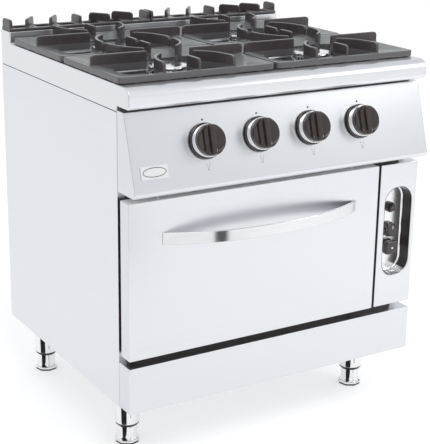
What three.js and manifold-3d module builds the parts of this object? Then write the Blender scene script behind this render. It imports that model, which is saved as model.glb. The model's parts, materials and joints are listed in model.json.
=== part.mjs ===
// Commercial four-burner gas range with a drop-down static oven, on four adjustable legs.
// Millimetres. +X is the right-hand side, +Y the rear, +Z up. The origin is on the floor,
// under the centre of the bounding box, and the front of the range faces -Y.

import * as THREE from 'three';
import { mergeVertices } from 'three/addons/utils/BufferGeometryUtils.js';
import Module from 'manifold-3d';

const wasm = await Module();
wasm.setup();

// ---------------------------------------------------------------- driving dimensions

const WIDTH = 800;
const HALF = WIDTH / 2;
const REAR_Y = 380;
const SHEET = 1.5;            // sheet metal thickness
const FIT = 0.5;              // clearance between pieces that touch on the real range

const BODY_FRONT_Y = -268;    // front edge of the side panels
const FRAME_Y = -262;         // front face of the structural frame behind the door
const FACE_Y = -318.5;        // front plane of the door, control column and kick plate
const BODY_BOTTOM_Z = 142.3;
const BODY_TOP_Z = 829.8;

const KICK_TOP_Z = 253.7;
const DOOR = { x0: -399.6, x1: 279.7, z0: 272, z1: 638.5, edge: -280, back: -275 };
const COLUMN = { x0: 287, x1: 399.6 };
const HINGE = { y: -306, z: 283, armX: [-366, 257] };

const HOB = {
  skirtBottom: 831.2, top: 889, front: -326, lipBottom: 843,
  noseRadius: 22, lipRadius: 10, riserFront: 320, riserTop: 917.5,
};
const BURNER_X = [-200, 200];
const BURNER_Y = [-132.6, 162];
const WELL = { halfX: 165, halfY: 116, radius: 30, floor: 858, hole: 36 };

const SUPPORT = {
  halfX: 197, halfY: 144, cornerRadius: 10, bottom: 889.4, rimTop: 905, finTop: 930,
  rimWidth: 8, openX: 141, openY: 88, openRadius: 58, openTop: 893, plate: 5, finThick: 7,
};

const PANEL = { topY: -298, topZ: 836.6, noseY: -350.5, noseZ: 667.1, bottomZ: 655, nose: 11 };
const KNOB = { firstX: -213.5, pitch: 140.3, z: 758, radius: 41, capRadius: 37, depth: 33 };

const CAVITY = { x0: -352, x1: 237, y0: -259.5, y1: 298, z0: 300, z1: 606 };
const SEAL = { width: 9, z0: CAVITY.z0 - 9, z1: CAVITY.z1 + 9 };
const RECESS = { x: 346.6, z: 463, halfX: 42, halfZ: 114, radius: 38, floorY: -283 };
const HANDLE = { x0: -318, x1: 214, z0: 535.5, z1: 563, bulge: 61.5, thick: 4.5 };
const ROUND = 20;              // facets round a burner or a knob
const SMALL_ROUND = 10;        // facets round a pipe, pin or hole
const LEG = { x: 333.6, frontY: -176.6, rearY: 305, split: 52, radius: 29 };

// ---------------------------------------------------------------- materials

function metal(color, roughness, metalness = 1) {
  return new THREE.MeshStandardMaterial({ color, roughness, metalness });
}

const MATERIAL = {
  satinSteel: metal(0xdfe2e5, 0.38),
  brightSteel: metal(0xe8eaec, 0.12),
  enamel: metal(0x4a4c50, 0.35, 0.2),
  castIron: metal(0x4b4847, 0.75, 0.3),
  aluminium: metal(0xd4d6d8, 0.3),
  brass: metal(0xb08d4a, 0.35),
  blackPlastic: metal(0x1c1816, 0.25, 0),
  rubber: metal(0x2a2a2a, 0.9, 0),
};

// ---------------------------------------------------------------- shape helpers

function toManifold(geometry) {
  const bare = geometry.index ? geometry.toNonIndexed() : geometry.clone();
  bare.deleteAttribute('normal');
  bare.deleteAttribute('uv');
  const merged = mergeVertices(bare, 1e-4);
  const vertProperties = new Float32Array(merged.attributes.position.array);
  const triVerts = new Uint32Array(merged.index.array);
  return new wasm.Manifold(new wasm.Mesh({ numProp: 3, vertProperties, triVerts }));
}

function toGeometry(solid) {
  const mesh = solid.getMesh();
  const geometry = new THREE.BufferGeometry();
  geometry.setAttribute('position', new THREE.BufferAttribute(mesh.vertProperties, 3));
  geometry.setIndex(new THREE.BufferAttribute(mesh.triVerts, 1));
  return geometry;
}

function join(geometries) {
  return toGeometry(geometries.map(toManifold).reduce((a, b) => a.add(b)));
}

function cut(geometry, tools) {
  return toGeometry(tools.map(toManifold).reduce((a, b) => a.subtract(b), toManifold(geometry)));
}

function box(x0, x1, y0, y1, z0, z1) {
  const geometry = new THREE.BoxGeometry(x1 - x0, y1 - y0, z1 - z0);
  return geometry.translate((x0 + x1) / 2, (y0 + y1) / 2, (z0 + z1) / 2);
}

function shapeFrom(points) {
  return new THREE.Shape(points.map(([a, b]) => new THREE.Vector2(a, b)));
}

function extrude(shape, depth, curveSegments = 6) {
  return new THREE.ExtrudeGeometry(shape, { depth, bevelEnabled: false, curveSegments });
}

const AXES = {
  x: [[0, 1, 0], [0, 0, 1], [1, 0, 0]],
  y: [[1, 0, 0], [0, 0, 1], [0, -1, 0]],
  z: [[1, 0, 0], [0, 1, 0], [0, 0, 1]],
};

function basis(axis) {
  return new THREE.Matrix4().makeBasis(...AXES[axis].map((v) => new THREE.Vector3(...v)));
}

// A prism along an axis. The outline is (y, z) for x, (x, z) for y and (x, y) for z.
function prism(axis, outline, from, to, curveSegments = 6) {
  const shape = Array.isArray(outline) ? shapeFrom(outline) : outline;
  const geometry = extrude(shape, to - from, curveSegments).applyMatrix4(basis(axis));
  const offset = axis === 'y' ? to : from;
  const place = { x: [offset, 0, 0], y: [0, offset, 0], z: [0, 0, offset] }[axis];
  return geometry.translate(...place);
}

function roundedRect(halfA, halfB, radius, centreA = 0, centreB = 0) {
  const shape = new THREE.Shape();
  const a = halfA - radius;
  const b = halfB - radius;
  shape.absarc(centreA + a, centreB + b, radius, 0, Math.PI / 2);
  shape.absarc(centreA - a, centreB + b, radius, Math.PI / 2, Math.PI);
  shape.absarc(centreA - a, centreB - b, radius, Math.PI, 1.5 * Math.PI);
  shape.absarc(centreA + a, centreB - b, radius, 1.5 * Math.PI, 2 * Math.PI);
  shape.closePath();
  return shape;
}

function cylinder(axis, radius, from, to, centre, segments = 24) {
  const geometry = new THREE.CylinderGeometry(radius, radius, to - from, segments);
  if (axis === 'x') geometry.rotateZ(Math.PI / 2);
  if (axis === 'z') geometry.rotateX(Math.PI / 2);
  const middle = (from + to) / 2;
  const [a, b] = centre;
  const place = { x: [middle, a, b], y: [a, middle, b], z: [a, b, middle] }[axis];
  return geometry.translate(...place);
}

// A body of revolution about +Z from (radius, z) points.
function turned(profile, segments = 20) {
  const points = profile.map(([r, z]) => new THREE.Vector2(r, z));
  return new THREE.LatheGeometry(points, segments).rotateX(Math.PI / 2);
}

function rectRing(halfA, halfB, radius, arcSteps) {
  const ring = [];
  const signs = [[1, 1], [-1, 1], [-1, -1], [1, -1]];
  signs.forEach(([signA, signB], corner) => {
    for (let i = 0; i <= arcSteps; i += 1) {
      const angle = (corner + i / arcSteps) * Math.PI / 2;
      ring.push([
        signA * (halfA - radius) + radius * Math.cos(angle),
        signB * (halfB - radius) + radius * Math.sin(angle),
      ]);
    }
  });
  return ring;
}

// A ring whose section is a closed list of rounded rectangles, each at its own height.
function ringLoft(sections, arcSteps = 5) {
  const loops = sections.map((s) => rectRing(s.a, s.b, s.r, arcSteps).map(([a, b]) => [a, b, s.z]));
  const stations = loops[0].length;
  const index = [];
  loops.forEach((loop, row) => {
    const next = (row + 1) % loops.length;
    for (let i = 0; i < stations; i += 1) {
      const j = (i + 1) % stations;
      const p = row * stations + i;
      const q = row * stations + j;
      const r = next * stations + j;
      const s = next * stations + i;
      index.push(p, q, r, p, r, s);
    }
  });
  const geometry = new THREE.BufferGeometry();
  geometry.setAttribute('position', new THREE.Float32BufferAttribute(loops.flat(2), 3));
  geometry.setIndex(index);
  return geometry;
}

const root = new THREE.Group();

function add(name, geometry, material, parent = root) {
  geometry.computeVertexNormals();
  const mesh = new THREE.Mesh(geometry, material);
  mesh.name = name;
  parent.add(mesh);
  return mesh;
}

// ---------------------------------------------------------------- casing

function addSidePanels() {
  const lip = 18;
  const outline = [
    [HALF, BODY_FRONT_Y], [HALF, REAR_Y], [HALF - lip, REAR_Y], [HALF - lip, REAR_Y - SHEET],
    [HALF - SHEET, REAR_Y - SHEET], [HALF - SHEET, BODY_FRONT_Y + SHEET],
    [HALF - lip, BODY_FRONT_Y + SHEET], [HALF - lip, BODY_FRONT_Y],
  ];
  const mirrored = outline.map(([x, y]) => [-x, y]).reverse();
  add('side_panel_right', prism('z', outline, BODY_BOTTOM_Z, BODY_TOP_Z), MATERIAL.satinSteel);
  add('side_panel_left', prism('z', mirrored, BODY_BOTTOM_Z, BODY_TOP_Z), MATERIAL.satinSteel);
}

const GAS_INLET = { x: 352, z: 741, radius: 11 };

function addBackPanel() {
  const rear = REAR_Y - SHEET - FIT;
  const plate = box(-397.5, 397.5, rear - SHEET, rear, BODY_BOTTOM_Z + 2.2, 828);
  const { x, z, radius } = GAS_INLET;
  const holes = [cylinder('y', radius + 5, rear - 10, rear + 10, [x, z], 16)];
  for (const column of [-180, 0, 180]) {
    for (let row = 0; row < 4; row += 1) {
      const slotZ = 640 + row * 26;
      holes.push(box(column - 60, column + 60, rear - 10, rear + 10, slotZ, slotZ + 10));
    }
  }
  add('back_panel', cut(plate, holes), MATERIAL.satinSteel);
}

function addBaseTray() {
  const halfX = 397.5;
  const y0 = BODY_FRONT_Y + 8;
  const y1 = REAR_Y - 6;
  const outer = box(-halfX, halfX, y0, y1, BODY_BOTTOM_Z, BODY_BOTTOM_Z + 32);
  const inner = box(-halfX + SHEET, halfX - SHEET, y0 + SHEET, y1 - SHEET, BODY_BOTTOM_Z + 2, 300);
  add('base_tray', cut(outer, [inner]), MATERIAL.satinSteel);
}

function addFrontFrame() {
  const plate = box(-381, 381, FRAME_Y, FRAME_Y + SHEET, BODY_BOTTOM_Z + 33, 827);
  const holes = [
    box(CAVITY.x0 + 2, CAVITY.x1 - 2, FRAME_Y - 5, FRAME_Y + 5, CAVITY.z0 + 2, CAVITY.z1 - 2),
    box(302, 376, FRAME_Y - 5, FRAME_Y + 5, 380, 545),
    box(-365, 368, FRAME_Y - 5, FRAME_Y + 5, 668, 816),
  ];
  for (const x of HINGE.armX) {
    holes.push(box(x - 6, x + 6, FRAME_Y - 5, FRAME_Y + 5, 262, 312));
  }
  add('front_frame', cut(plate, holes), MATERIAL.satinSteel);
}

// A pressed front: a flat face with returns that run back to a given depth.
function facePan(x0, x1, z0, z1, back) {
  const outline = roundedRect((x1 - x0) / 2, (z1 - z0) / 2, 2, (x0 + x1) / 2, (z0 + z1) / 2);
  const outer = prism('y', outline, FACE_Y, back, 2);
  const inner = box(x0 + SHEET, x1 - SHEET, FACE_Y + SHEET, back + 5, z0 + SHEET, z1 - SHEET);
  return cut(outer, [inner]);
}

function addKickPlate() {
  const pan = facePan(-399.6, 399.6, BODY_BOTTOM_Z, KICK_TOP_Z, BODY_FRONT_Y - FIT);
  add('kick_plate', pan, MATERIAL.satinSteel);
}

// ---------------------------------------------------------------- hob top

function hobOutline(inset) {
  const t = inset;
  const shape = new THREE.Shape();
  const bottom = HOB.skirtBottom - (t > 0 ? 5 : 0);
  const nose = HOB.noseRadius;
  const lip = HOB.lipRadius;
  shape.moveTo(REAR_Y - t, bottom);
  shape.lineTo(REAR_Y - t, HOB.riserTop - t);
  shape.lineTo(HOB.riserFront + t, HOB.riserTop - t);
  shape.lineTo(HOB.riserFront + t, HOB.top - t);
  shape.absarc(HOB.front + nose, HOB.top - nose, nose - t, Math.PI / 2, Math.PI, false);
  shape.absarc(HOB.front + lip, HOB.lipBottom + lip, lip - t, Math.PI, 1.5 * Math.PI, false);
  shape.lineTo(BODY_FRONT_Y + t, HOB.lipBottom + t);
  shape.lineTo(BODY_FRONT_Y + t, bottom);
  shape.closePath();
  return shape;
}

function wellBlock(x, y, grow, z0) {
  const outline = roundedRect(WELL.halfX + grow, WELL.halfY + grow, WELL.radius + grow, x, y);
  return prism('z', outline, z0, HOB.top + 10, 3);
}

function addHobTop() {
  const outer = prism('x', hobOutline(0), -HALF, HALF, 5);
  const inner = prism('x', hobOutline(SHEET), -HALF + SHEET, HALF - SHEET, 5);
  const centres = BURNER_X.flatMap((x) => BURNER_Y.map((y) => [x, y]));
  const cavity = cut(inner, centres.map(([x, y]) => wellBlock(x, y, SHEET, WELL.floor - SHEET)));
  const wells = centres.map(([x, y]) => wellBlock(x, y, 0, WELL.floor));
  const below = WELL.floor - 10;
  const holes = centres.map((at) => cylinder('z', WELL.hole, below, WELL.floor + 10, at, 16));
  const { riserTop } = HOB;
  const flues = BURNER_X.map((x) => box(x - 165, x + 165, 332, 368, riserTop - 10, riserTop + 10));
  add('hob_top', cut(outer, [cavity, ...wells, ...holes, ...flues]), MATERIAL.satinSteel);
}

// ---------------------------------------------------------------- flue grilles

function flueLug(x, angle) {
  const length = angle === 0 ? 50 : 50 / Math.cos(angle);
  const shape = new THREE.Shape();
  const half = length / 2;
  const foot = HOB.riserTop + 5.5;
  const top = 947;
  const corner = 9;
  shape.moveTo(-half, foot);
  shape.lineTo(half, foot);
  shape.absarc(half - corner, top - corner, corner, 0, Math.PI / 2);
  shape.absarc(-half + corner, top - corner, corner, Math.PI / 2, Math.PI);
  shape.closePath();
  const plate = prism('x', shape, -4, 4, 2);
  return plate.rotateZ(angle).translate(x, (HOB.riserFront + REAR_Y) / 2, 0);
}

function addFlueGrilles() {
  const tilt = THREE.MathUtils.degToRad(36);
  const halfWidth = 198.5;
  const endX = halfWidth - 4.5;
  const lugs = [
    [-endX, 0], [-135, -tilt], [-70, -tilt], [-4, 0], [62, tilt], [128, tilt], [endX, 0],
  ];
  BURNER_X.forEach((x, side) => {
    const plate = box(-halfWidth, halfWidth, 322, 378, HOB.riserTop + FIT, 925);
    const centres = [-162, -99, -34, 34, 99, 162];
    const frame = cut(plate, centres.map((c) => box(c - 21, c + 21, 333, 367, 900, 930)));
    const grille = join([frame, ...lugs.map(([at, angle]) => flueLug(at, angle))]);
    const name = side === 0 ? 'flue_grille_left' : 'flue_grille_right';
    add(name, grille, MATERIAL.castIron).position.x = side === 0 ? -199.5 : 199.5;
  });
}

// ---------------------------------------------------------------- pan supports

function supportFrame() {
  const s = SUPPORT;
  return ringLoft([
    { a: s.halfX, b: s.halfY, r: s.cornerRadius, z: s.bottom },
    { a: s.halfX, b: s.halfY, r: s.cornerRadius, z: s.rimTop },
    { a: s.halfX - s.rimWidth, b: s.halfY - s.rimWidth, r: s.cornerRadius, z: s.rimTop },
    { a: s.openX, b: s.openY, r: s.openRadius, z: s.openTop },
    { a: s.openX, b: s.openY, r: s.openRadius, z: s.openTop - s.plate },
    { a: s.halfX - s.rimWidth, b: s.halfY - s.rimWidth, r: s.cornerRadius, z: s.bottom + 7 },
    { a: s.halfX - s.rimWidth, b: s.halfY - s.rimWidth, r: s.cornerRadius, z: s.bottom },
  ], 3);
}

// A straight fin from the rim towards the burner, standing in the plane of its own direction.
function straightFin(outer, inner) {
  const s = SUPPORT;
  const corner = 9;
  const shape = new THREE.Shape();
  shape.moveTo(inner, s.bottom);
  shape.lineTo(outer, s.bottom);
  shape.absarc(outer - corner, s.finTop - corner, corner, 0, Math.PI / 2);
  shape.lineTo(inner, s.finTop);
  shape.closePath();
  return prism('x', shape, -s.finThick / 2, s.finThick / 2, 3);
}

function curvedFin(signX, signY) {
  const s = SUPPORT;
  const path = new THREE.SplineCurve([
    new THREE.Vector2(88, s.halfY - 1), new THREE.Vector2(87, 114), new THREE.Vector2(77, 80),
    new THREE.Vector2(60, 55), new THREE.Vector2(42, 39),
  ]);
  const steps = 5;
  const left = [];
  const right = [];
  for (let i = 0; i <= steps; i += 1) {
    const point = path.getPoint(i / steps);
    const side = path.getTangent(i / steps).rotateAround(new THREE.Vector2(), Math.PI / 2);
    const offset = side.multiplyScalar(s.finThick / 2);
    left.push(point.clone().add(offset));
    right.unshift(point.clone().sub(offset));
  }
  const outline = [...left, ...right].map((p) => [signX * p.x, signY * Math.min(p.y, s.halfY)]);
  if (signX * signY < 0) outline.reverse();
  return prism('z', outline, s.bottom, s.finTop);
}

function addPanSupports() {
  const s = SUPPORT;
  const longFin = straightFin(s.halfX - 1, 56);
  const shortFin = straightFin(s.halfY - 1, 88);
  const pieces = [
    supportFrame(),
    longFin.clone().rotateZ(-Math.PI / 2),
    longFin.clone().rotateZ(Math.PI / 2),
    shortFin.clone(),
    shortFin.clone().rotateZ(Math.PI),
  ];
  for (const signX of [-1, 1]) {
    for (const signY of [-1, 1]) pieces.push(curvedFin(signX, signY));
  }
  const support = join(pieces);
  forEachBurner((place, x, y) => {
    add(`pan_support_${place}`, support.clone(), MATERIAL.castIron).position.set(x, y, 0);
  });
}

function forEachBurner(build) {
  const rows = ['front', 'rear'];
  const sides = ['left', 'right'];
  rows.forEach((row, j) => sides.forEach((side, i) => {
    build(`${row}_${side}`, BURNER_X[i], BURNER_Y[j]);
  }));
}

// ---------------------------------------------------------------- burners

function addBurners() {
  const crownTop = 884;
  const body = turned([
    [0, 838], [20, 838], [32, 846], [32, 858.4], [54, 858.4], [54, 861], [50, 862.5],
    [50, crownTop], [36, crownTop], [36, 866], [14, 850], [0, 850],
  ], ROUND);
  const slots = [];
  const slotCount = 8;
  for (let i = 0; i < slotCount; i += 1) {
    const slot = box(30, 60, -2.5, 2.5, crownTop - 6, crownTop + 5);
    slots.push(slot.rotateZ(i * 2 * Math.PI / slotCount));
  }
  const crown = cut(body, slots);
  const cap = turned([
    [0, crownTop + 3.4], [34, crownTop + 3.4], [34, crownTop - 6], [35.5, crownTop - 6],
    [35.5, crownTop + 0.4], [47, crownTop + 0.4], [47, 892], [44.5, 894.5], [0, 895],
  ], ROUND);
  forEachBurner((place, x, y) => {
    add(`burner_body_${place}`, crown.clone(), MATERIAL.aluminium).position.set(x, y, 0);
    add(`burner_cap_${place}`, cap.clone(), MATERIAL.aluminium).position.set(x, y, 0);
  });
}

// ---------------------------------------------------------------- control panel and knobs

const SLOPE = new THREE.Vector2(PANEL.noseY - PANEL.topY, PANEL.noseZ - PANEL.topZ).normalize();
const TILT = Math.atan2(-SLOPE.x, -SLOPE.y);   // lean of the panel from vertical

function panelOutline(inset) {
  const shape = new THREE.Shape();
  const t = inset;
  const back = BODY_FRONT_Y - 0.5 + (t > 0 ? 5 : 0);
  const centreZ = PANEL.bottomZ + PANEL.nose;
  const faceY = PANEL.noseY + (centreZ - PANEL.noseZ) * SLOPE.x / SLOPE.y;
  const centreY = faceY + PANEL.nose / Math.cos(TILT);
  shape.moveTo(back, PANEL.topZ - t);
  shape.lineTo(PANEL.topY + t * (1 - Math.sin(TILT)) / Math.cos(TILT), PANEL.topZ - t);
  shape.absarc(centreY, centreZ, PANEL.nose - t, Math.PI - TILT, 1.5 * Math.PI, false);
  shape.lineTo(back, PANEL.bottomZ + t);
  shape.closePath();
  return shape;
}

function knobX(i) {
  return KNOB.firstX + i * KNOB.pitch;
}

// A group whose local +Z is the outward normal of the panel, with its origin on the panel face.
function knobFrame(i) {
  const along = (PANEL.topZ - KNOB.z) / -SLOPE.y;
  const y = PANEL.topY + SLOPE.x * along;
  const frame = new THREE.Group();
  frame.position.set(knobX(i), y, KNOB.z);
  frame.rotation.x = Math.PI / 2 - TILT;
  root.add(frame);
  frame.updateMatrixWorld(true);
  return frame;
}

const knobFrames = [0, 1, 2, 3].map(knobFrame);
const KNOB_NAMES = ['one', 'two', 'three', 'four'];

function addControlPanel() {
  const outer = prism('x', panelOutline(0), -399.6, 399.6, 5);
  const inner = prism('x', panelOutline(SHEET), -399.6 + SHEET, 399.6 - SHEET, 5);
  const hole = cylinder('z', 9, -20, 20, [0, 0], 12);
  const holes = knobFrames.map((frame) => hole.clone().applyMatrix4(frame.matrixWorld));
  add('control_panel', cut(outer, [inner, ...holes]), MATERIAL.satinSteel);
}

function addNameplate() {
  const along = (PANEL.topZ - 708) / -SLOPE.y;
  const plate = prism('z', roundedRect(33, 14.5, 6), 0.3, 2.3, 4);
  const mesh = add('nameplate', plate, MATERIAL.brightSteel);
  mesh.position.set(-347, PANEL.topY + SLOPE.x * along, 708);
  mesh.rotation.x = Math.PI / 2 - TILT;
}

// Knob: skirt against the panel, bright collar, and a cap with a raised grip across it.
function addKnobs() {
  const lift = 3.6;
  const body = turned([
    [0, lift], [KNOB.radius, lift], [KNOB.radius, lift + 3], [KNOB.capRadius - 1, lift + 6],
    [KNOB.capRadius, 20], [KNOB.capRadius, KNOB.depth - 3],
    [KNOB.capRadius - 3, KNOB.depth - 1], [0, KNOB.depth - 1],
  ], ROUND);
  const grip = prism('z', roundedRect(6, KNOB.capRadius - 3, 5), KNOB.depth - 6, KNOB.depth + 6, 3);
  const socket = cylinder('z', 5.8, -5, 24, [0, 0], SMALL_ROUND);
  const knob = cut(join([body, grip]), [socket]);
  const shaft = join([
    cylinder('z', 4.8, -21, 20, [0, 0], SMALL_ROUND),
    cylinder('z', 7.5, -21, -3, [0, 0], SMALL_ROUND),
  ]);
  knobFrames.forEach((frame, i) => {
    add(`tap_knob_${KNOB_NAMES[i]}`, knob.clone(), MATERIAL.blackPlastic, frame);
    add(`tap_spindle_${KNOB_NAMES[i]}`, shaft.clone(), MATERIAL.brass, frame);
  });
}

// ---------------------------------------------------------------- gas supply

function addGasManifold() {
  const { x, z, radius } = GAS_INLET;
  const y = -258;
  const rear = REAR_Y - 0.5;
  const pieces = [
    cylinder('x', radius, -330, x, [y, z], SMALL_ROUND),
    cylinder('y', radius, y, rear, [x, z], SMALL_ROUND),
    cylinder('y', radius + 3, rear - 22, rear, [x, z], 6),
    new THREE.SphereGeometry(radius + 3, 10, 6).translate(x, y, z),
  ];
  for (const frame of knobFrames) {
    const tap = cylinder('z', 14, -62, -22, [0, 0], 8).applyMatrix4(frame.matrixWorld);
    const outlet = cylinder('z', 6, 0, 26, [0, 0], 6).rotateX(-Math.PI / 2);
    outlet.translate(0, 8, -52).applyMatrix4(frame.matrixWorld);
    pieces.push(tap, outlet);
  }
  add('gas_manifold', join(pieces), MATERIAL.brass);
}

function addOvenBurner() {
  const z = 276;
  const pieces = [
    cylinder('y', 13, -150, 240, [-105, z], 8),
    cylinder('y', 13, -150, 240, [-5, z], 8),
    cylinder('x', 13, -105, -5, [240, z], 8),
    cylinder('x', 13, -105, 300, [-150, z], 8),
    new THREE.SphereGeometry(14, 8, 6).translate(-105, 240, z),
    new THREE.SphereGeometry(14, 8, 6).translate(-5, 240, z),
    new THREE.SphereGeometry(14, 8, 6).translate(-105, -150, z),
  ];
  add('oven_burner', join(pieces), MATERIAL.enamel);
}

function addThermostatValve() {
  const pieces = [
    box(326, 368, -279, -205, 396, 476),
    cylinder('z', 10, 350, 400, [347, -235], 12),
    cylinder('z', 8, 470, 540, [347, -235], 12),
  ];
  add('oven_gas_valve', join(pieces), MATERIAL.brass);
}

// ---------------------------------------------------------------- oven

function addOvenCavity() {
  const c = CAVITY;
  const outer = box(c.x0, c.x1, c.y0, c.y1, c.z0, c.z1);
  const inner = box(c.x0 + SHEET, c.x1 - SHEET, c.y0 - 5, c.y1 - SHEET, c.z0 + SHEET, c.z1 - SHEET);
  const middle = (c.x0 + c.x1) / 2;
  const burnerSlots = [-50, 50].map((dx) => {
    const at = middle + dx;
    return box(at - 22, at + 22, -120, 220, c.z0 - 5, c.z0 + 5);
  });
  const flueHole = box(middle - 140, middle + 140, c.y1 - 10, c.y1 + 10, 545, 585);
  add('oven_cavity', cut(outer, [inner, ...burnerSlots, flueHole]), MATERIAL.enamel);
}

// Duct from the oven's rear wall up into the flue riser.
function addFlueDuct() {
  const middle = (CAVITY.x0 + CAVITY.x1) / 2;
  const y0 = CAVITY.y1 + 1;
  const outer = box(middle - 150, middle + 150, y0, 374, 530, 905);
  const shoulder = box(middle - 160, middle + 160, y0 - 5, 326, 790, 910);
  const inner = box(middle - 148, middle + 148, y0 + 2, 372, 532, 760);
  const chimney = box(middle - 148, middle + 148, 328, 372, 700, 920);
  const mouth = box(middle - 140, middle + 140, y0 - 5, y0 + 8, 545, 585);
  add('oven_flue_duct', cut(outer, [shoulder, inner, chimney, mouth]), MATERIAL.enamel);
}

function addSolePlate() {
  const c = CAVITY;
  const outer = box(c.x0 + 14, c.x1 - 14, -235, 270, c.z0 + SHEET + 0.4, 327);
  const inner = box(c.x0 + 24, c.x1 - 24, -250, 290, c.z0 - 5, 320);
  add('oven_sole_plate', cut(outer, [inner]), MATERIAL.castIron);
}

const RUNNER_LEVELS = [370, 440, 510];

function addRackRunners() {
  for (const side of ['left', 'right']) {
    const wall = side === 'left' ? CAVITY.x0 + SHEET + 0.5 : CAVITY.x1 - SHEET - 0.5;
    const inward = side === 'left' ? 1 : -1;
    const span = (a, b) => [wall + inward * a, wall + inward * b].sort((p, q) => p - q);
    const post = span(0, 6);
    const shelf = span(2, 24);
    const pieces = [-200, 20, 240].map((y) => box(post[0], post[1], y - 4, y + 4, 328, 586));
    for (const z of RUNNER_LEVELS) pieces.push(box(shelf[0], shelf[1], -222, 262, z - 3, z));
    add(`rack_runner_${side}`, join(pieces), MATERIAL.brightSteel);
  }
}

function addOvenRack() {
  const z = RUNNER_LEVELS[1] + 4.6;
  const x0 = CAVITY.x0 + 12;
  const x1 = CAVITY.x1 - 12;
  const y0 = -228;
  const y1 = 262;
  const wire = 4;
  const pieces = [
    cylinder('x', wire, x0, x1, [y0 + wire, z], 6),
    cylinder('x', wire, x0, x1, [y1 - wire, z], 6),
    cylinder('y', wire, y0, y1, [x0 + wire, z], 6),
    cylinder('y', wire, y0, y1, [x1 - wire, z], 6),
  ];
  const bars = 9;
  for (let i = 1; i < bars; i += 1) {
    const x = x0 + (x1 - x0) * i / bars;
    pieces.push(cylinder('y', 3, y0 + wire, y1 - wire, [x, z], 4));
  }
  add('oven_rack', join(pieces), MATERIAL.brightSteel);
}

// ---------------------------------------------------------------- door

function addDoor() {
  const d = DOOR;
  const notches = HINGE.armX.map((x) => box(x - 7, x + 7, FACE_Y + 3, d.back + 5, d.z0 - 5, 306));
  const outer = facePan(d.x0, d.x1, d.z0, d.z1, d.edge);
  add('door_outer', cut(outer, notches), MATERIAL.satinSteel);
  const inset = 3;
  const step = 32;
  const front = -300;
  const linerBlock = (wall, margin, back, z0, z1) => box(
    d.x0 + margin + wall, d.x1 - margin - wall, front - wall, back - wall, z0 + wall, z1 - wall,
  );
  const liner = (wall) => [
    linerBlock(wall, inset, d.edge - FIT, d.z0 + inset, d.z1 - inset),
    linerBlock(wall, step, d.back, SEAL.z0 - 3, SEAL.z1 + 3),
  ];
  add('door_inner', cut(join(liner(0)), [...liner(SHEET), ...notches]), MATERIAL.brightSteel);
  const c = CAVITY;
  const middleX = (c.x0 + c.x1) / 2;
  const middleZ = (SEAL.z0 + SEAL.z1) / 2;
  const halfX = (c.x1 - c.x0) / 2 + SEAL.width;
  const halfZ = (SEAL.z1 - SEAL.z0) / 2;
  const outline = roundedRect(halfX, halfZ, 14, middleX, middleZ);
  const { width } = SEAL;
  const innerOutline = roundedRect(halfX - width, halfZ - width, 6, middleX, middleZ);
  const ring = prism('y', outline, d.back + 0.4, FRAME_Y - 0.6, 3);
  const hole = prism('y', innerOutline, -290, -240, 3);
  add('door_seal', cut(ring, [hole]), MATERIAL.rubber);
}

// Handle: a flat strip that springs from the door near each end and bows out in the middle.
function addHandle() {
  const h = HANDLE;
  const half = (h.x1 - h.x0) / 2;
  const middle = (h.x0 + h.x1) / 2;
  const steps = 20;
  const landY = FACE_Y - 0.4;
  const reach = h.bulge - 0.4;
  const bow = (u, drop) => [middle + half * u, landY - reach * (1 - Math.abs(u) ** 2.35) + drop];
  const outerEdge = [];
  const innerEdge = [];
  for (let i = 0; i <= steps; i += 1) {
    const u = -1 + 2 * i / steps;
    outerEdge.push(bow(u, 0));
    if (i > 0 && i < steps) innerEdge.unshift(bow(u, h.thick));
  }
  const landing = 16;
  const clear = ([x, y]) => y < FACE_Y - 1 && x > h.x0 + landing && x < h.x1 - landing;
  const outline = [
    ...outerEdge, [h.x1 - landing, landY], ...innerEdge.filter(clear), [h.x0 + landing, landY],
  ];
  add('door_handle', prism('z', outline, h.z0, h.z1), MATERIAL.brightSteel);
}

function addHinges() {
  const outline = new THREE.Shape();
  const reach = 8;
  outline.absarc(HINGE.y, HINGE.z, reach, Math.PI / 2, 1.5 * Math.PI, false);
  outline.lineTo(-252, HINGE.z - reach);
  outline.lineTo(-252, HINGE.z + 24);
  outline.lineTo(-266, HINGE.z + 20);
  outline.closePath();
  HINGE.armX.forEach((x, i) => {
    const arm = prism('x', outline, x - 2.5, x + 2.5, 5);
    const pin = cylinder('x', 4, x - 6, x + 6, [HINGE.y, HINGE.z], 12);
    add(i === 0 ? 'door_hinge_left' : 'door_hinge_right', join([arm, pin]), MATERIAL.brightSteel);
  });
}

// ---------------------------------------------------------------- control column

const PIEZO_Z = 518;
const THERMOSTAT_Z = 460;
const SAFETY_Z = 415;

function addControlColumn() {
  const r = RECESS;
  const pan = facePan(COLUMN.x0, COLUMN.x1, DOOR.z0, DOOR.z1, BODY_FRONT_Y - FIT);
  const hole = prism('y', roundedRect(r.halfX, r.halfZ, r.radius, r.x, r.z), -330, -300, 5);
  add('control_column', cut(pan, [hole]), MATERIAL.satinSteel);
  const cupOutline = roundedRect(r.halfX - 0.4, r.halfZ - 0.4, r.radius, r.x, r.z);
  const hollowOutline = roundedRect(r.halfX - 2, r.halfZ - 2, r.radius - 1.6, r.x, r.z);
  const cup = prism('y', cupOutline, FACE_Y + 0.2, r.floorY + SHEET, 5);
  const hollow = prism('y', hollowOutline, -330, r.floorY, 5);
  const holes = [
    cylinder('y', 9, -300, -270, [r.x, PIEZO_Z], SMALL_ROUND),
    cylinder('y', 7, -300, -270, [r.x, THERMOSTAT_Z], SMALL_ROUND),
    cylinder('y', 7, -300, -270, [r.x, SAFETY_Z], SMALL_ROUND),
  ];
  add('control_recess', cut(cup, [hollow, ...holes]), MATERIAL.brightSteel);
}

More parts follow.
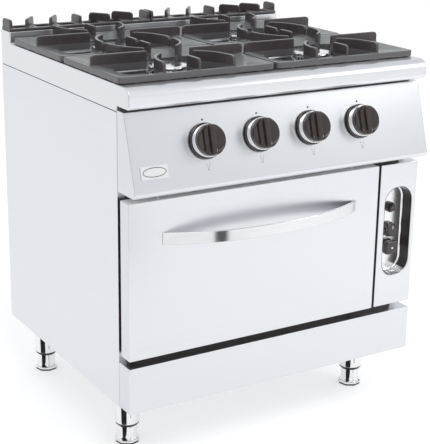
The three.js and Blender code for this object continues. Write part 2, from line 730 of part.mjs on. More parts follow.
function addRecessControls() {
  const { x, floorY } = RECESS;
  const bezelFront = floorY - 9;
  const collar = join([
    cylinder('y', 13, bezelFront, floorY - 0.4, [x, PIEZO_Z], 16),
    cylinder('y', 8.5, floorY - 2, -262, [x, PIEZO_Z], SMALL_ROUND),
  ]);
  const bore = cylinder('y', 6.5, -320, -270, [x, PIEZO_Z], SMALL_ROUND);
  const counterbore = cylinder('y', 9.4, -320, bezelFront + 6, [x, PIEZO_Z], 12);
  add('piezo_igniter', cut(collar, [bore, counterbore]), MATERIAL.blackPlastic);
  const plunger = join([
    cylinder('y', 8.4, bezelFront - 8, bezelFront + 0.8, [x, PIEZO_Z], 12),
    cylinder('y', 5.8, bezelFront, -277, [x, PIEZO_Z], SMALL_ROUND),
  ]);
  add('piezo_button', plunger, MATERIAL.blackPlastic);
  const dial = join([
    cylinder('y', 19, floorY - 20, floorY - 1, [x, THERMOSTAT_Z], ROUND),
    cylinder('y', 4, floorY - 5, -279.5, [x, THERMOSTAT_Z], SMALL_ROUND),
  ]);
  add('thermostat_knob', dial, MATERIAL.blackPlastic);
  const rocker = prism('y', roundedRect(18, 16.5, 6, x, SAFETY_Z), floorY - 22, floorY - 5.6, 3);
  const stem = cylinder('y', 5, floorY - 8, floorY - 1.2, [x, SAFETY_Z], SMALL_ROUND);
  add('safety_button', join([rocker, stem]), MATERIAL.blackPlastic);
}

// ---------------------------------------------------------------- legs

function addLegs() {
  const sleeve = turned([
    [0, 128], [12.5, 128], [12.5, LEG.split], [LEG.radius - 2, LEG.split], [LEG.radius, LEG.split + 2],
    [LEG.radius, BODY_BOTTOM_Z - 0.4], [0, BODY_BOTTOM_Z - 0.4],
  ], 16);
  const foot = turned([
    [0, 0], [27.5, 0], [27.5, 9], [24, 18], [24, LEG.split - 7], [22, LEG.split - 5],
    [22, LEG.split - 0.5], [12, LEG.split - 0.5], [12, 112], [0, 112],
  ], 16);
  for (const [row, y] of [['front', LEG.frontY], ['rear', LEG.rearY]]) {
    for (const [side, x] of [['left', -LEG.x], ['right', LEG.x]]) {
      add(`leg_sleeve_${row}_${side}`, sleeve.clone(), MATERIAL.brightSteel).position.set(x, y, 0);
      add(`leg_foot_${row}_${side}`, foot.clone(), MATERIAL.brightSteel).position.set(x, y, 0);
    }
  }
}

// ---------------------------------------------------------------- assembly

addSidePanels();
addBackPanel();
addBaseTray();
addFrontFrame();
addKickPlate();
addHobTop();
addFlueGrilles();
addPanSupports();
addBurners();
addControlPanel();
addNameplate();
addKnobs();
addGasManifold();
addOvenBurner();
addThermostatValve();
addOvenCavity();
addFlueDuct();
addSolePlate();
addRackRunners();
addOvenRack();
addDoor();
addHandle();
addHinges();
addControlColumn();
addRecessControls();
addLegs();

export default root;
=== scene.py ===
"""Looks of a commercial four-burner gas range with a static oven, built around its CAD part.

Shapes are written in millimetres in the part's own frame and turned into metres once, in mesh().
"""
import json
import math

import bmesh
import bpy
from mathutils import Matrix, Vector
from mathutils.geometry import tessellate_polygon


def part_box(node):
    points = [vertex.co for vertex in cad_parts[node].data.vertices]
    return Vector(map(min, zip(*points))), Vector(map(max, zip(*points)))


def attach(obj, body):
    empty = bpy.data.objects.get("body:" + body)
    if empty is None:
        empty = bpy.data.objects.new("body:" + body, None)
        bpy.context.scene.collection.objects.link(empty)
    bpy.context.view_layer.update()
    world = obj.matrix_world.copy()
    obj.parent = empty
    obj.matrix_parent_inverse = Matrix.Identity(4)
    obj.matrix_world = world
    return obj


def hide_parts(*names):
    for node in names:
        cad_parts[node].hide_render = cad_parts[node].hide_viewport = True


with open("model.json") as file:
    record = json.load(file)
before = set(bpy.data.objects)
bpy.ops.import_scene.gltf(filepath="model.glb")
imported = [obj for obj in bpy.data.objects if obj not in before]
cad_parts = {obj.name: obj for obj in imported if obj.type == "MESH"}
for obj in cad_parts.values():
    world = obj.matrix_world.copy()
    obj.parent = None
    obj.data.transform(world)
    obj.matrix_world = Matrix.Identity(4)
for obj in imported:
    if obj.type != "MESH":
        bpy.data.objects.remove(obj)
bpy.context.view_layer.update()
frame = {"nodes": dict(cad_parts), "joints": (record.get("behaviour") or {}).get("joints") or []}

MM = 0.001
TAU = 2 * math.pi
PLACES = [f"{row}_{side}" for row in ("front", "rear") for side in ("left", "right")]
TAPS = ["one", "two", "three", "four"]


def box(node):
    """Lowest and highest corner of a CAD node, in millimetres."""
    low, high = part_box(node)
    return low / MM, high / MM


def centre(node):
    low, high = box(node)
    return (low + high) / 2


def half_size(node):
    low, high = box(node)
    return (high - low) / 2


# ---- node materials


def network(name):
    material = bpy.data.materials.new(name)
    material.use_nodes = True
    return material, material.node_tree, material.node_tree.nodes["Principled BSDF"]


def add_node(tree, kind, links=None, **values):
    """A shader node: values sets its properties or sockets, links joins sockets to outputs."""
    node = tree.nodes.new(kind)
    for key, value in values.items():
        if key in node.inputs:
            node.inputs[key].default_value = value
        else:
            setattr(node, key, value)
    for key, output in (links or {}).items():
        tree.links.new(output, node.inputs[key])
    return node


def noise(tree, scale, detail=3.0, stretch=(1, 1, 1)):
    """Noise in the part's own coordinates, stretched along an axis for a drawn grain."""
    mapped = add_node(tree, "ShaderNodeMapping", {"Vector": own_place(tree)}, Scale=stretch)
    texture = add_node(
        tree, "ShaderNodeTexNoise", {"Vector": mapped.outputs[0]},
        Scale=scale, Detail=detail, Roughness=0.55,
    )
    return texture.outputs[0]


def remap(tree, value, low, high, start=0.3, end=0.7):
    """Noise values from start to end, mapped to low to high."""
    node = add_node(tree, "ShaderNodeMapRange", {"Value": value})
    for key, number in (("From Min", start), ("From Max", end), ("To Min", low), ("To Max", high)):
        node.inputs[key].default_value = number
    return node.outputs[0]


def own_place(tree):
    """Coordinates of the part's own frame."""
    return add_node(tree, "ShaderNodeTexCoord").outputs["Object"]


def z_of(tree, vector):
    return add_node(tree, "ShaderNodeSeparateXYZ", {"Vector": vector}).outputs["Z"]


def tint_over(tree, factor, below, colour):
    """The colour below, with another laid over it by factor."""
    node = add_node(tree, "ShaderNodeMix", {"Factor": factor, 6: below}, data_type="RGBA")
    node.inputs[7].default_value = (*colour, 1)
    return node.outputs[2]


def blend_colours(tree, factor, first, second):
    node = add_node(tree, "ShaderNodeMix", {"Factor": factor}, data_type="RGBA")
    node.inputs[6].default_value = (*first, 1)
    node.inputs[7].default_value = (*second, 1)
    return node.outputs[2]


def bump(tree, height, strength, distance, below=None):
    links = {"Height": height}
    if below is not None:
        links["Normal"] = below
    node = add_node(tree, "ShaderNodeBump", links, Strength=strength, Distance=distance)
    return node.outputs[0]


def steel(name, tint, roughness, grain, streak=0.012, metallic=1.0):
    """Sheet steel. grain is the stretch of the drawn lines: small along them, large across."""
    material, tree, shader = network(name)
    fine = noise(tree, 1.0, 2.0, grain)
    wide = noise(tree, 1.0, 2.0, tuple(g * 0.07 for g in grain))
    cloud = noise(tree, 2.2, 3.0)
    darker = tuple(c * (1 - streak) for c in tint)
    colour = blend_colours(tree, remap(tree, wide, 0, 1), darker, tint)
    tree.links.new(colour, shader.inputs["Base Color"])
    mixed = add_node(tree, "ShaderNodeMath", {0: fine, 1: cloud}, operation="ADD").outputs[0]
    rough = remap(tree, mixed, roughness * 0.93, roughness * 1.07, 0.7, 1.3)
    tree.links.new(rough, shader.inputs["Roughness"])
    tree.links.new(bump(tree, fine, 0.05, 0.0001), shader.inputs["Normal"])
    shader.inputs["Metallic"].default_value = metallic
    return material


def dielectric(name, first, second, roughness, scale, height, coat=0.0):
    """Painted, moulded or cast surface: two tones, and a grain that also makes the bump."""
    material, tree, shader = network(name)
    grain = noise(tree, scale, 4.0)
    patch = noise(tree, scale * 0.06, 3.0)
    colour = blend_colours(tree, remap(tree, patch, 0, 1), first, second)
    tree.links.new(colour, shader.inputs["Base Color"])
    rough = remap(tree, grain, roughness * 0.8, roughness * 1.25)
    tree.links.new(rough, shader.inputs["Roughness"])
    tree.links.new(bump(tree, grain, 0.3, height), shader.inputs["Normal"])
    shader.inputs["Coat Weight"].default_value = coat
    shader.inputs["Coat Roughness"].default_value = 0.12
    return material


def cast_iron(name="enamelled_cast_iron", rim_z=0.0):
    """Enamelled cast iron: sand grain, a slow tone change and paler worn edges, with upward faces paler as a
    painted reflection of the sky.
    Below rim_z, in metres, the whole surface is a little paler, a painted sheen."""
    material, tree, shader = network(name)
    sand = noise(tree, 900.0, 4.0)
    swell = noise(tree, 60.0, 3.0)
    tone = blend_colours(tree, remap(tree, swell, 0, 1), (0.050, 0.040, 0.043), (0.064, 0.052, 0.056))
    edge = add_node(tree, "ShaderNodeNewGeometry").outputs["Pointiness"]
    worn = remap(tree, edge, 0, 0.35, 0.51, 0.58)
    tone = tint_over(tree, worn, tone, (0.13, 0.12, 0.12))
    # painted sheen: below rim_z the iron is laid paler, standing for the enamel's reflection at a grazing
    # angle
    low = remap(tree, z_of(tree, own_place(tree)), 1, 0, rim_z, rim_z + 0.0015)
    tone = tint_over(tree, low, tone, (0.105, 0.100, 0.103))
    # painted reflection: faces that look up are laid paler, standing for the sky they reflect
    normal = add_node(tree, "ShaderNodeNewGeometry").outputs["Normal"]
    upward = remap(tree, z_of(tree, normal), 0, 1, 0.7, 0.97)
    tone = tint_over(tree, upward, tone, (0.185, 0.195, 0.195))
    tree.links.new(tone, shader.inputs["Base Color"])
    tree.links.new(remap(tree, sand, 0.24, 0.34), shader.inputs["Roughness"])
    soft = bump(tree, swell, 0.10, 0.0010)
    tree.links.new(bump(tree, sand, 0.12, 0.0002, soft), shader.inputs["Normal"])
    shader.inputs["Specular IOR Level"].default_value = 0.5
    return material


def rope():
    """Braided glass rope: two crossing waves make the plait, its bump and a painted shade in its grooves."""
    material, tree, shader = network("braided_rope")
    place = own_place(tree)
    heights = []
    for turn in (0.8, -0.8):
        mapped = add_node(tree, "ShaderNodeMapping", {"Vector": place}, Rotation=(turn, turn, turn))
        wave = add_node(tree, "ShaderNodeTexWave", {"Vector": mapped.outputs[0]}, Scale=90.0)
        heights.append(wave.outputs[1])
    plait = add_node(tree, "ShaderNodeMath", {0: heights[0], 1: heights[1]}, operation="MAXIMUM")
    # painted shade: the colour follows the plait's height, darker in its grooves
    colour = blend_colours(tree, plait.outputs[0], (0.02, 0.02, 0.02), (0.11, 0.105, 0.10))
    tree.links.new(colour, shader.inputs["Base Color"])
    tree.links.new(bump(tree, plait.outputs[0], 0.7, 0.0012), shader.inputs["Normal"])
    tree.links.new(remap(tree, plait.outputs[0], 0.7, 0.95), shader.inputs["Roughness"])
    return material


# The three satin steels below are one finish. Their tints differ as painted light and shade: the front copy
# is darkest and the hob copy lightest.
FRONT_STEEL = steel("satin_steel_front", (0.695, 0.709, 0.730), 0.30, (3, 900, 900))
SIDE_STEEL = steel("satin_steel_side", (0.735, 0.752, 0.775), 0.32, (900, 3, 900))
HOB_STEEL = steel("satin_steel_hob", (0.745, 0.757, 0.778), 0.33, (3, 900, 900))
# painted shade: a dull pale steel for the door's top face, giving the grey of the shade under the control
# panel's nose
SHADE_STEEL = steel("door_top_painted_shade", (0.90, 0.92, 0.91), 0.7, (3, 900, 900), metallic=0.1)
# painted shade: a dark steel standing for the shade in the gaps, laid on the front frame and on the hob's
# skirt below the lip
PAINTED_SHADE_STEEL = steel("painted_shade_steel", (0.19, 0.17, 0.155), 0.6, (3, 900, 900), metallic=0.2)
BADGE_STEEL = steel("badge_plate", (0.80, 0.80, 0.81), 0.38, (3, 900, 900))
HANDLE_STEEL = steel("brushed_handle_steel", (0.70, 0.71, 0.72), 0.13, (3, 900, 900), 0.05)
BRIGHT_STEEL = steel("polished_steel", (0.86, 0.865, 0.875), 0.09, (60, 60, 900), 0.01)
CUP_STEEL = steel("recess_steel", (0.80, 0.805, 0.815), 0.24, (60, 60, 900), 0.01)
# painted shade: a near-black steel for the recess's right-hand wall, standing for the shade there
CUP_SHADE = steel("recess_side_painted_shade", (0.030, 0.026, 0.024), 0.4, (60, 60, 900), 0.1, metallic=0.3)
DARK_STEEL = steel("heat_tinted_steel", (0.42, 0.41, 0.40), 0.35, (60, 60, 60), 0.25)
ALLOY = steel("burner_alloy", (0.80, 0.80, 0.805), 0.22, (160, 160, 160), 0.10)
BRASS = steel("machined_brass", (0.72, 0.53, 0.25), 0.28, (300, 300, 40), 0.15)
IRON = cast_iron()
# height below which the support castings carry a painted sheen
SUPPORT_RIM_Z = 0.906
SUPPORT_IRON = cast_iron("support_cast_iron", SUPPORT_RIM_Z)
ENAMEL = dielectric("oven_enamel", (0.012, 0.012, 0.014), (0.022, 0.022, 0.026), 0.22, 1500, 0.0001, coat=0.4)
KNOB_BLACK = dielectric(
    "gloss_phenolic", (0.020, 0.012, 0.010), (0.028, 0.018, 0.015), 0.14, 500, 0.00005, coat=0.3,
)
CONTROL_BLACK = dielectric("satin_black", (0.018, 0.012, 0.012), (0.028, 0.020, 0.020), 0.30, 1200, 0.0001)
GREY_INK = dielectric("grey_ink", (0.28, 0.28, 0.29), (0.34, 0.34, 0.35), 0.5, 900, 0.00005)
INK = dielectric("printed_ink", (0.03, 0.03, 0.034), (0.05, 0.05, 0.055), 0.5, 900, 0.00005)
WHITE_INK = dielectric("white_ink", (0.72, 0.72, 0.70), (0.80, 0.80, 0.78), 0.45, 900, 0.00005)
ROPE = rope()

# ---- shapes, as (points, faces)


def loft(loops, start=False, end=False, wrap=False):
    """Skin over loops with equal point counts. start and end close the ends, wrap joins them."""
    count = len(loops[0])
    points = [tuple(p) for loop in loops for p in loop]
    faces = []
    rows = len(loops) if wrap else len(loops) - 1
    for row in range(rows):
        a, b = row * count, ((row + 1) % len(loops)) * count
        for i in range(count):
            j = (i + 1) % count
            faces.append((a + i, a + j, b + j, b + i))
    if start:
        faces.append(tuple(range(count))[::-1])
    if end:
        faces.append(tuple(range(len(points) - count, len(points))))
    return points, faces


def solid(loops):
    """Skin over loops, closed at both ends."""
    return loft(loops, start=True, end=True)


def level(ring, z):
    """A flat outline laid at height z."""
    return [(a, b, z) for a, b in ring]


def upright(ring, y):
    """A flat outline stood up across Y."""
    return [(a, y, b) for a, b in ring]


def merged(*shapes):
    points, faces = [], []
    for shape_points, shape_faces in shapes:
        base = len(points)
        points += shape_points
        faces += [tuple(base + i for i in face) for face in shape_faces]
    return points, faces


def moved(shape, matrix):
    return [tuple(matrix @ Vector(p)) for p in shape[0]], shape[1]


def shifted(shape, x, y, z):
    return moved(shape, Matrix.Translation((x, y, z)))


def circle(radius, z, segments):
    turns = [TAU * i / segments for i in range(segments)]
    return [(radius * math.cos(t), radius * math.sin(t), z) for t in turns]


def lathe(profile, segments=64, ring=False):
    """Body of revolution about +Z from (radius, z) points. Its ends lie on the axis or are closed
    by a disc. ring joins the last point to the first, for a ring about the axis."""
    loops = [circle(radius, z, segments) for radius, z in profile]
    if ring:
        return loft(loops, wrap=True)
    return loft(loops, start=profile[0][0] > 0.01, end=profile[-1][0] > 0.01)


def arc(cx, cy, radius, start, end, steps):
    """Points on an arc, angles in degrees."""
    angles = [math.radians(start + (end - start) * i / steps) for i in range(steps + 1)]
    return [(cx + radius * math.cos(a), cy + radius * math.sin(a)) for a in angles]


def quarter(steps):
    """(1 - sine, 1 - cosine) over a quarter turn: the two offsets of a rounded edge."""
    angles = [math.pi / 2 * k / steps for k in range(steps + 1)]
    return [(1 - math.sin(a), 1 - math.cos(a)) for a in angles]


def rounded_rect(half_a, half_b, radius, at=(0, 0), steps=8):
    points = []
    for corner, (sa, sb) in enumerate(((1, 1), (-1, 1), (-1, -1), (1, -1))):
        a, b = at[0] + sa * (half_a - radius), at[1] + sb * (half_b - radius)
        points += arc(a, b, radius, corner * 90, corner * 90 + 90, steps)
    return points


def outline(corners, inset=0.0, steps=6):
    """Closed outline with rounded corners, (a, b, radius) counter-clockwise, moved in by inset."""
    points = []
    count = len(corners)
    for i, (a, b, radius) in enumerate(corners):
        here = Vector((a, b))
        before = (here - Vector(corners[i - 1][:2])).normalized()
        after = (Vector(corners[(i + 1) % count][:2]) - here).normalized()
        normal_before = Vector((-before.y, before.x))
        normal_after = Vector((-after.y, after.x))
        turn = before.x * after.y - before.y * after.x
        bisector = (normal_before + normal_after).normalized()
        shrink = bisector.dot(normal_before)
        corner = here + bisector * (inset / shrink)
        if radius <= 0:
            points.append(tuple(corner))
            continue
        sign = 1 if turn > 0 else -1
        size = max(radius - sign * inset, 0.05)
        middle = corner + bisector * (sign * size / shrink)
        first = math.degrees(math.atan2(-sign * normal_before.y, -sign * normal_before.x))
        sweep = math.degrees(math.atan2(turn, before.dot(after)))
        points += arc(middle.x, middle.y, size, first, first + sweep, steps)
    return points


def filled(loop, holes, place):
    """Flat face with holes. place turns (a, b) into a point."""
    polygons = [[Vector((*p, 0)) for p in ring] for ring in [loop, *holes]]
    flat = [p for ring in [loop, *holes] for p in ring]
    faces = [tuple(face) for face in tessellate_polygon(polygons)]
    return [place(a, b) for a, b in flat], faces


def extruded(corners, start, end, edge=0.0, skip=None, steps=6):
    """(y, z) outline drawn out along X, with rounded end edges. Where skip(y, z) is true of the
    middle of an outline segment, its face in the middle span is left out."""
    edge_steps = 4
    loops = [(edge * out, outline(corners, edge * inset, steps)) for inset, out in quarter(edge_steps)]
    head = [[(start + x, y, z) for y, z in ring] for x, ring in loops]
    tail = [[(end - x, y, z) for y, z in ring] for x, ring in reversed(loops)]
    points, faces = solid(head + tail)
    if skip:
        count = len(head[0])
        first = edge_steps * count
        ring = loops[-1][1]
        for i in range(count):
            (y0, z0), (y1, z1) = ring[i], ring[(i + 1) % count]
            if skip((y0 + y1) / 2, (z0 + z1) / 2):
                faces[first + i] = None
        faces = [face for face in faces if face]
    return points, faces


def slab(points2d, thickness, axis="z", at=0.0):
    """Prism of an outline across one axis, centred on at."""
    place = {
        "x": lambda a, b, c: (c, a, b), "y": lambda a, b, c: (a, c, b), "z": lambda a, b, c: (a, b, c),
    }[axis]
    return solid([[place(a, b, at + s * thickness / 2) for a, b in points2d] for s in (-1, 1)])


def tube(path, radius, segments=12, closed=False):
    """Round bar along points."""
    points = [Vector(p) for p in path]
    count = len(points)
    loops = []
    side = None
    for i, point in enumerate(points):
        if closed:
            along = points[(i + 1) % count] - points[i - 1]
        else:
            along = points[min(i + 1, count - 1)] - points[max(i - 1, 0)]
        along.normalize()
        if side is None:
            side = along.orthogonal().normalized()
        side = (side - along * side.dot(along)).normalized()
        other = along.cross(side)
        ring = []
        for k in range(segments):
            angle = TAU * k / segments
            across = side * (radius * math.cos(angle))
            ring.append(point + across + other * (radius * math.sin(angle)))
        loops.append(ring)
    return loft(loops, start=not closed, end=not closed, wrap=closed)


# ---- pieces

CAST_VOXEL = 1.6


def linked(name, data):
    """A new object, in the scene."""
    item = bpy.data.objects.new(name, data)
    bpy.context.scene.collection.objects.link(item)
    return item


def mesh(name, shape, material, smooth=32, weld=0.02):
    points, faces = shape
    data = bpy.data.meshes.new(name)
    data.from_pydata([tuple(c * MM for c in p) for p in points], [], faces)
    work = bmesh.new()
    work.from_mesh(data)
    bmesh.ops.remove_doubles(work, verts=work.verts, dist=weld * MM)
    bmesh.ops.dissolve_degenerate(work, edges=work.edges, dist=0.005 * MM)
    bmesh.ops.recalc_face_normals(work, faces=work.faces)
    work.to_mesh(data)
    work.free()
    data.shade_smooth()
    data.set_sharp_from_angle(angle=math.radians(smooth))
    data.materials.append(material)
    return data


def make(name, shape, material, body, nodes=(), smooth=32, weighted=True):
    """A piece of its own: its mesh, the body it rides on and the CAD nodes it replaces."""
    item = linked(name, mesh(name, shape, material, smooth))
    if weighted:
        item.modifiers.new("face_normals", "WEIGHTED_NORMAL").keep_sharp = True
    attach(item, body)
    if nodes:
        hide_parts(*nodes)
    return item


def refined(node, material, edge, steps=3, ledge=None, body="range_body"):
    """The CAD node's own shape with welded faces and rounded edges. ledge is another material for
    the faces that look up; the door uses it to paint the shade under the panel nose on its top face."""
    data = frame["nodes"][node].data.copy()
    data.name = f"{node}_sheet"
    work = bmesh.new()
    work.from_mesh(data)
    bmesh.ops.remove_doubles(work, verts=work.verts, dist=0.01 * MM)
    limit = math.radians(1)
    bmesh.ops.dissolve_limit(work, angle_limit=limit, verts=work.verts, edges=work.edges)
    work.to_mesh(data)
    work.free()
    clean = bpy.data.meshes.new(data.name)
    points = [tuple(v.co) for v in data.vertices]
    clean.from_pydata(points, [], [tuple(p.vertices) for p in data.polygons])
    clean.shade_smooth()
    clean.set_sharp_from_angle(angle=math.radians(35))
    clean.materials.append(material)
    # painted shade: the faces that look up take the ledge material
    if ledge:
        clean.materials.append(ledge)
        for face in clean.polygons:
            face.material_index = 1 if face.normal.z > 0.9 else 0
    item = linked(f"{node}_sheet", clean)
    rounding = item.modifiers.new("rounding", "BEVEL")
    rounding.limit_method = "ANGLE"
    rounding.angle_limit = math.radians(35)
    rounding.width = edge * MM
    rounding.segments = steps
    rounding.use_clamp_overlap = True
    rounding.harden_normals = True
    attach(item, body)
    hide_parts(node)
    return item


def screw(name, at, normal, body, radius=3.6):
    """Pan-head screw with a cross recess."""
    rings = []
    for k in range(9):
        r = radius * (1 - k / 8)
        height = 1.7 * math.sqrt(max(0.0, 1 - (r / radius) ** 2)) + 0.2
        ring = []
        for a, b, _ in circle(r, 0, 32):
            cross = min(abs(a), abs(b)) < 0.55 and max(abs(a), abs(b)) < radius * 0.62
            ring.append((a, b, height - (1.1 if cross else 0)))
        rings.append(ring)
    shape = loft([circle(radius, 0, 32), *rings])
    turn = Vector((0, 0, 1)).rotation_difference(Vector(normal)).to_matrix().to_4x4()
    shape = moved(shape, Matrix.Translation(at) @ turn)
    return make(name, shape, BRIGHT_STEEL, body, smooth=50)


def cast(name, shape, material, relax, keep):
    """Overlapping closed solids fused into one casting with soft corners: relax is the number of
    smoothing rounds, keep the share of faces kept."""
    item = linked(name, mesh(name, shape, material, weld=0.001))
    fuse = item.modifiers.new("fuse", "REMESH")
    fuse.mode = "VOXEL"
    fuse.voxel_size = CAST_VOXEL * MM
    fuse.use_smooth_shade = True
    soften = item.modifiers.new("soften", "SMOOTH")
    soften.factor = 0.5
    soften.iterations = relax
    thin = item.modifiers.new("thin", "DECIMATE")
    thin.ratio = keep
    graph = bpy.context.evaluated_depsgraph_get()
    result = bpy.data.meshes.new_from_object(item.evaluated_get(graph))
    bpy.data.objects.remove(item)
    result.name = name
    result.shade_smooth()
    result.materials.clear()
    result.materials.append(material)
    return result


def placed(name, data, at, body, nodes=()):
    """A piece whose mesh is shared by several objects."""
    item = linked(name, data)
    item.location = Vector(at) * MM
    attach(item, body)
    if nodes:
        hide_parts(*nodes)
    return item


# ---- casing

for node in ("side_panel_left", "side_panel_right"):
    refined(node, SIDE_STEEL, 0.4)
for node in ("kick_plate", "base_tray"):
    refined(node, FRONT_STEEL, 0.9)
# painted shade: the front frame is seen only in a gap, so it takes the dark steel
refined("front_frame", PAINTED_SHADE_STEEL, 0.9)
refined("back_panel", FRONT_STEEL, 0.3, 2)
refined("door_outer", FRONT_STEEL, 1.0, ledge=SHADE_STEEL, body="door")
refined("door_inner", BRIGHT_STEEL, 0.3, 2, body="door")
for side in ("left", "right"):
    refined(f"door_hinge_{side}", BRIGHT_STEEL, 0.4, 2)
refined("oven_cavity", ENAMEL, 0.6, 2)
refined("oven_sole_plate", IRON, 1.5)
refined("oven_flue_duct", DARK_STEEL, 0.6, 2)
refined("oven_burner", DARK_STEEL, 0.3, 1)
refined("oven_gas_valve", BRASS, 0.8, 2)
refined("gas_manifold", BRASS, 0.4, 1)
for tap in TAPS:
    spindle = f"tap_spindle_{tap}"
    refined(spindle, BRASS, 0.4, 2, body=spindle)

# ---- hob top

HOB_LOW, HOB_HIGH = box("hob_top")
FRONT, REAR, HALF = HOB_LOW.y, HOB_HIGH.y, HOB_HIGH.x
TOP = HOB_LOW.z + 57.8
LIP = TOP - 46
RISER_TOP = HOB_HIGH.z
RISER_FRONT = REAR - 60
BODY_FRONT = box("side_panel_left")[0].y
NOSE = 22
END_EDGE = 2.2
WELL_HALF = (165, 116)
WELL_FLOOR = TOP - 31
FLUE_Y = 350
BURNERS = {place: centre(f"burner_cap_{place}") for place in PLACES}

hob_corners = [
    (REAR, HOB_LOW.z - 0.6, 0), (REAR, RISER_TOP, 2.5), (RISER_FRONT, RISER_TOP, 1.2),
    (RISER_FRONT, TOP, 2.5), (FRONT, TOP, NOSE), (FRONT, LIP, 10),
    (BODY_FRONT, LIP, 0.4), (BODY_FRONT, HOB_LOW.z - 0.6, 0),
]


def open_flats(y, z):
    on_top = abs(z - TOP) < 0.01 and FRONT + NOSE < y < RISER_FRONT - 5
    on_riser = abs(z - RISER_TOP) < 0.01 and y > RISER_FRONT + 5
    return on_top or on_riser


def well(x, y):
    """A pressed well from its rim radius down to the burner hole."""
    half_a, half_b = WELL_HALF
    rim, foot = 4.5, 8.0
    levels = [(rim * out, TOP - rim * down) for out, down in quarter(5)]
    levels += [(-1 - foot * inward, WELL_FLOOR + foot * up) for up, inward in quarter(5)]
    loops = [
        level(rounded_rect(half_a + grow, half_b + grow, 30 + grow, (x, y), 10), z) for grow, z in levels
    ]
    angles = [math.atan2(b - y, a - x) for a, b, z in loops[-1]]
    for radius, lift in ((72, 0), (69, 1.3), (62, 1.5), (58, 0.2), (37, 0), (35.5, -1.5), (35.5, -6)):
        ring = [(x + radius * math.cos(t), y + radius * math.sin(t)) for t in angles]
        loops.append(level(ring, WELL_FLOOR + lift))
    return loops


def flat_face(y_start, y_end, openings, z):
    """A flat of the hob between its end edges, cut out at the first loop of every opening."""
    half = HALF - END_EDGE
    rim = [(-half, y_start), (half, y_start), (half, y_end), (-half, y_end)]
    return filled(rim, [[p[:2] for p in loops[0]] for loops in openings], lambda a, b: (a, b, z))


wells = [well(at.x, at.y) for at in BURNERS.values()]
flues = []
for x in (-200, 200):
    flues.append([
        level(rounded_rect(165 + grow, 18 + grow, 5 + grow, (x, FLUE_Y), 5), RISER_TOP + drop)
        for grow, drop in ((1.2, 0), (0.4, -0.4), (0, -1.2), (0, -16))
    ])
hob = merged(
    extruded(hob_corners, -HALF, HALF, END_EDGE, open_flats, steps=10),
    flat_face(FRONT + NOSE, RISER_FRONT - 2.5, wells, TOP),
    flat_face(RISER_FRONT + 1.2, REAR - 2.5, flues, RISER_TOP),
    *[loft(loops) for loops in wells + flues],
)
pressing = make("hob_pressing", hob, HOB_STEEL, "range_body", ["hob_top"], smooth=28)
pressing.data.materials.append(PAINTED_SHADE_STEEL)
# painted shade: the hob's skirt faces below the lip take the dark painted shade steel
for face in pressing.data.polygons:
    below_lip = face.center.z < (LIP + 0.1) * MM
    painted_shade_skirt = below_lip and (BODY_FRONT - 12) * MM < face.center.y < 0
    face.material_index = 1 if painted_shade_skirt and abs(face.normal.x) < 0.5 else 0

# ---- burners


def crown():
    """Burner body: flange, tapering wall, and a crown cut by radial ports."""
    low, high = box("burner_body_front_left")
    flange_z, top = low.z + 20.4, high.z
    ports, per_port = 30, 4
    loops = []
    for i in range(ports * per_port):
        angle = TAU * (i - 0.5 + (0.24 if i % per_port in (0, 2) else -0.24)) / (ports * per_port)
        slot = i % per_port in (1, 2)
        rim = top - (7.0 if slot else 0.0)
        tooth = [(50, top - 6.8), (50, rim - 0.8), (49.2, rim)]
        port = [(48.6, rim), (47, rim), (46, rim)]
        section = [
            (20, low.z), (32, low.z + 8), (32, flange_z), (53, flange_z), (54, flange_z + 0.8),
            (54, flange_z + 2), (53, flange_z + 2.6), (50.5, flange_z + 3.4), (49.4, flange_z + 6),
            (48.6, top - 8), *(port if slot else tooth),
            (37, rim), (36.2, rim - 0.8), (36, low.z + 28), (14, low.z + 12), (12, low.z),
        ]
        loops.append([(r * math.cos(angle), r * math.sin(angle), z) for r, z in section])
    return loft(loops, wrap=True)


def burner_cap():
    low, high = box("burner_cap_front_left")
    top, under = high.z, high.z - 10.6
    return lathe([
        (0, top), (32, top - 0.1), (44.2, top - 0.3), (45.6, top - 0.9), (46.6, top - 2.2), (47, top - 4),
        (47, under + 1.2), (46.4, under + 0.4), (45.6, under), (35.5, under), (35.5, low.z), (34, low.z),
        (34, under + 3), (0, under + 3),
    ], 96)


crown_mesh = mesh("burner_crown", crown(), ALLOY, 40)
cap_mesh = mesh("burner_lid", burner_cap(), BRIGHT_STEEL, 40)
for place, at in BURNERS.items():
    here = (at.x, at.y, 0)
    placed(f"burner_crown_{place}", crown_mesh, here, "range_body", [f"burner_body_{place}"])
    cap = f"burner_cap_{place}"
    placed(f"burner_lid_{place}", cap_mesh, here, cap, [cap])

# ---- pan supports

SUPPORT_LOW, SUPPORT_HIGH = box("pan_support_front_left")
SUPPORT_HALF = half_size("pan_support_front_left")
FIN_TOP = SUPPORT_HIGH.z
FIN_BOTTOM = SUPPORT_LOW.z + 1.4
RIM_TOP = FIN_TOP - 25
RIM_FOOT = FIN_BOTTOM + 0.8


def straight_fin(outer, inner):
    """Upright fin with a rounded shoulder at the rim and an upright inner end."""
    shape = [(inner, FIN_BOTTOM + 2), (inner + 2, FIN_BOTTOM), (outer, FIN_BOTTOM)]
    shape += arc(outer - 9, FIN_TOP - 9, 9, 0, 90, 6)
    shape += arc(inner + 2.5, FIN_TOP - 2.5, 2.5, 90, 180, 4)
    return slab(shape, 7.0, "y")


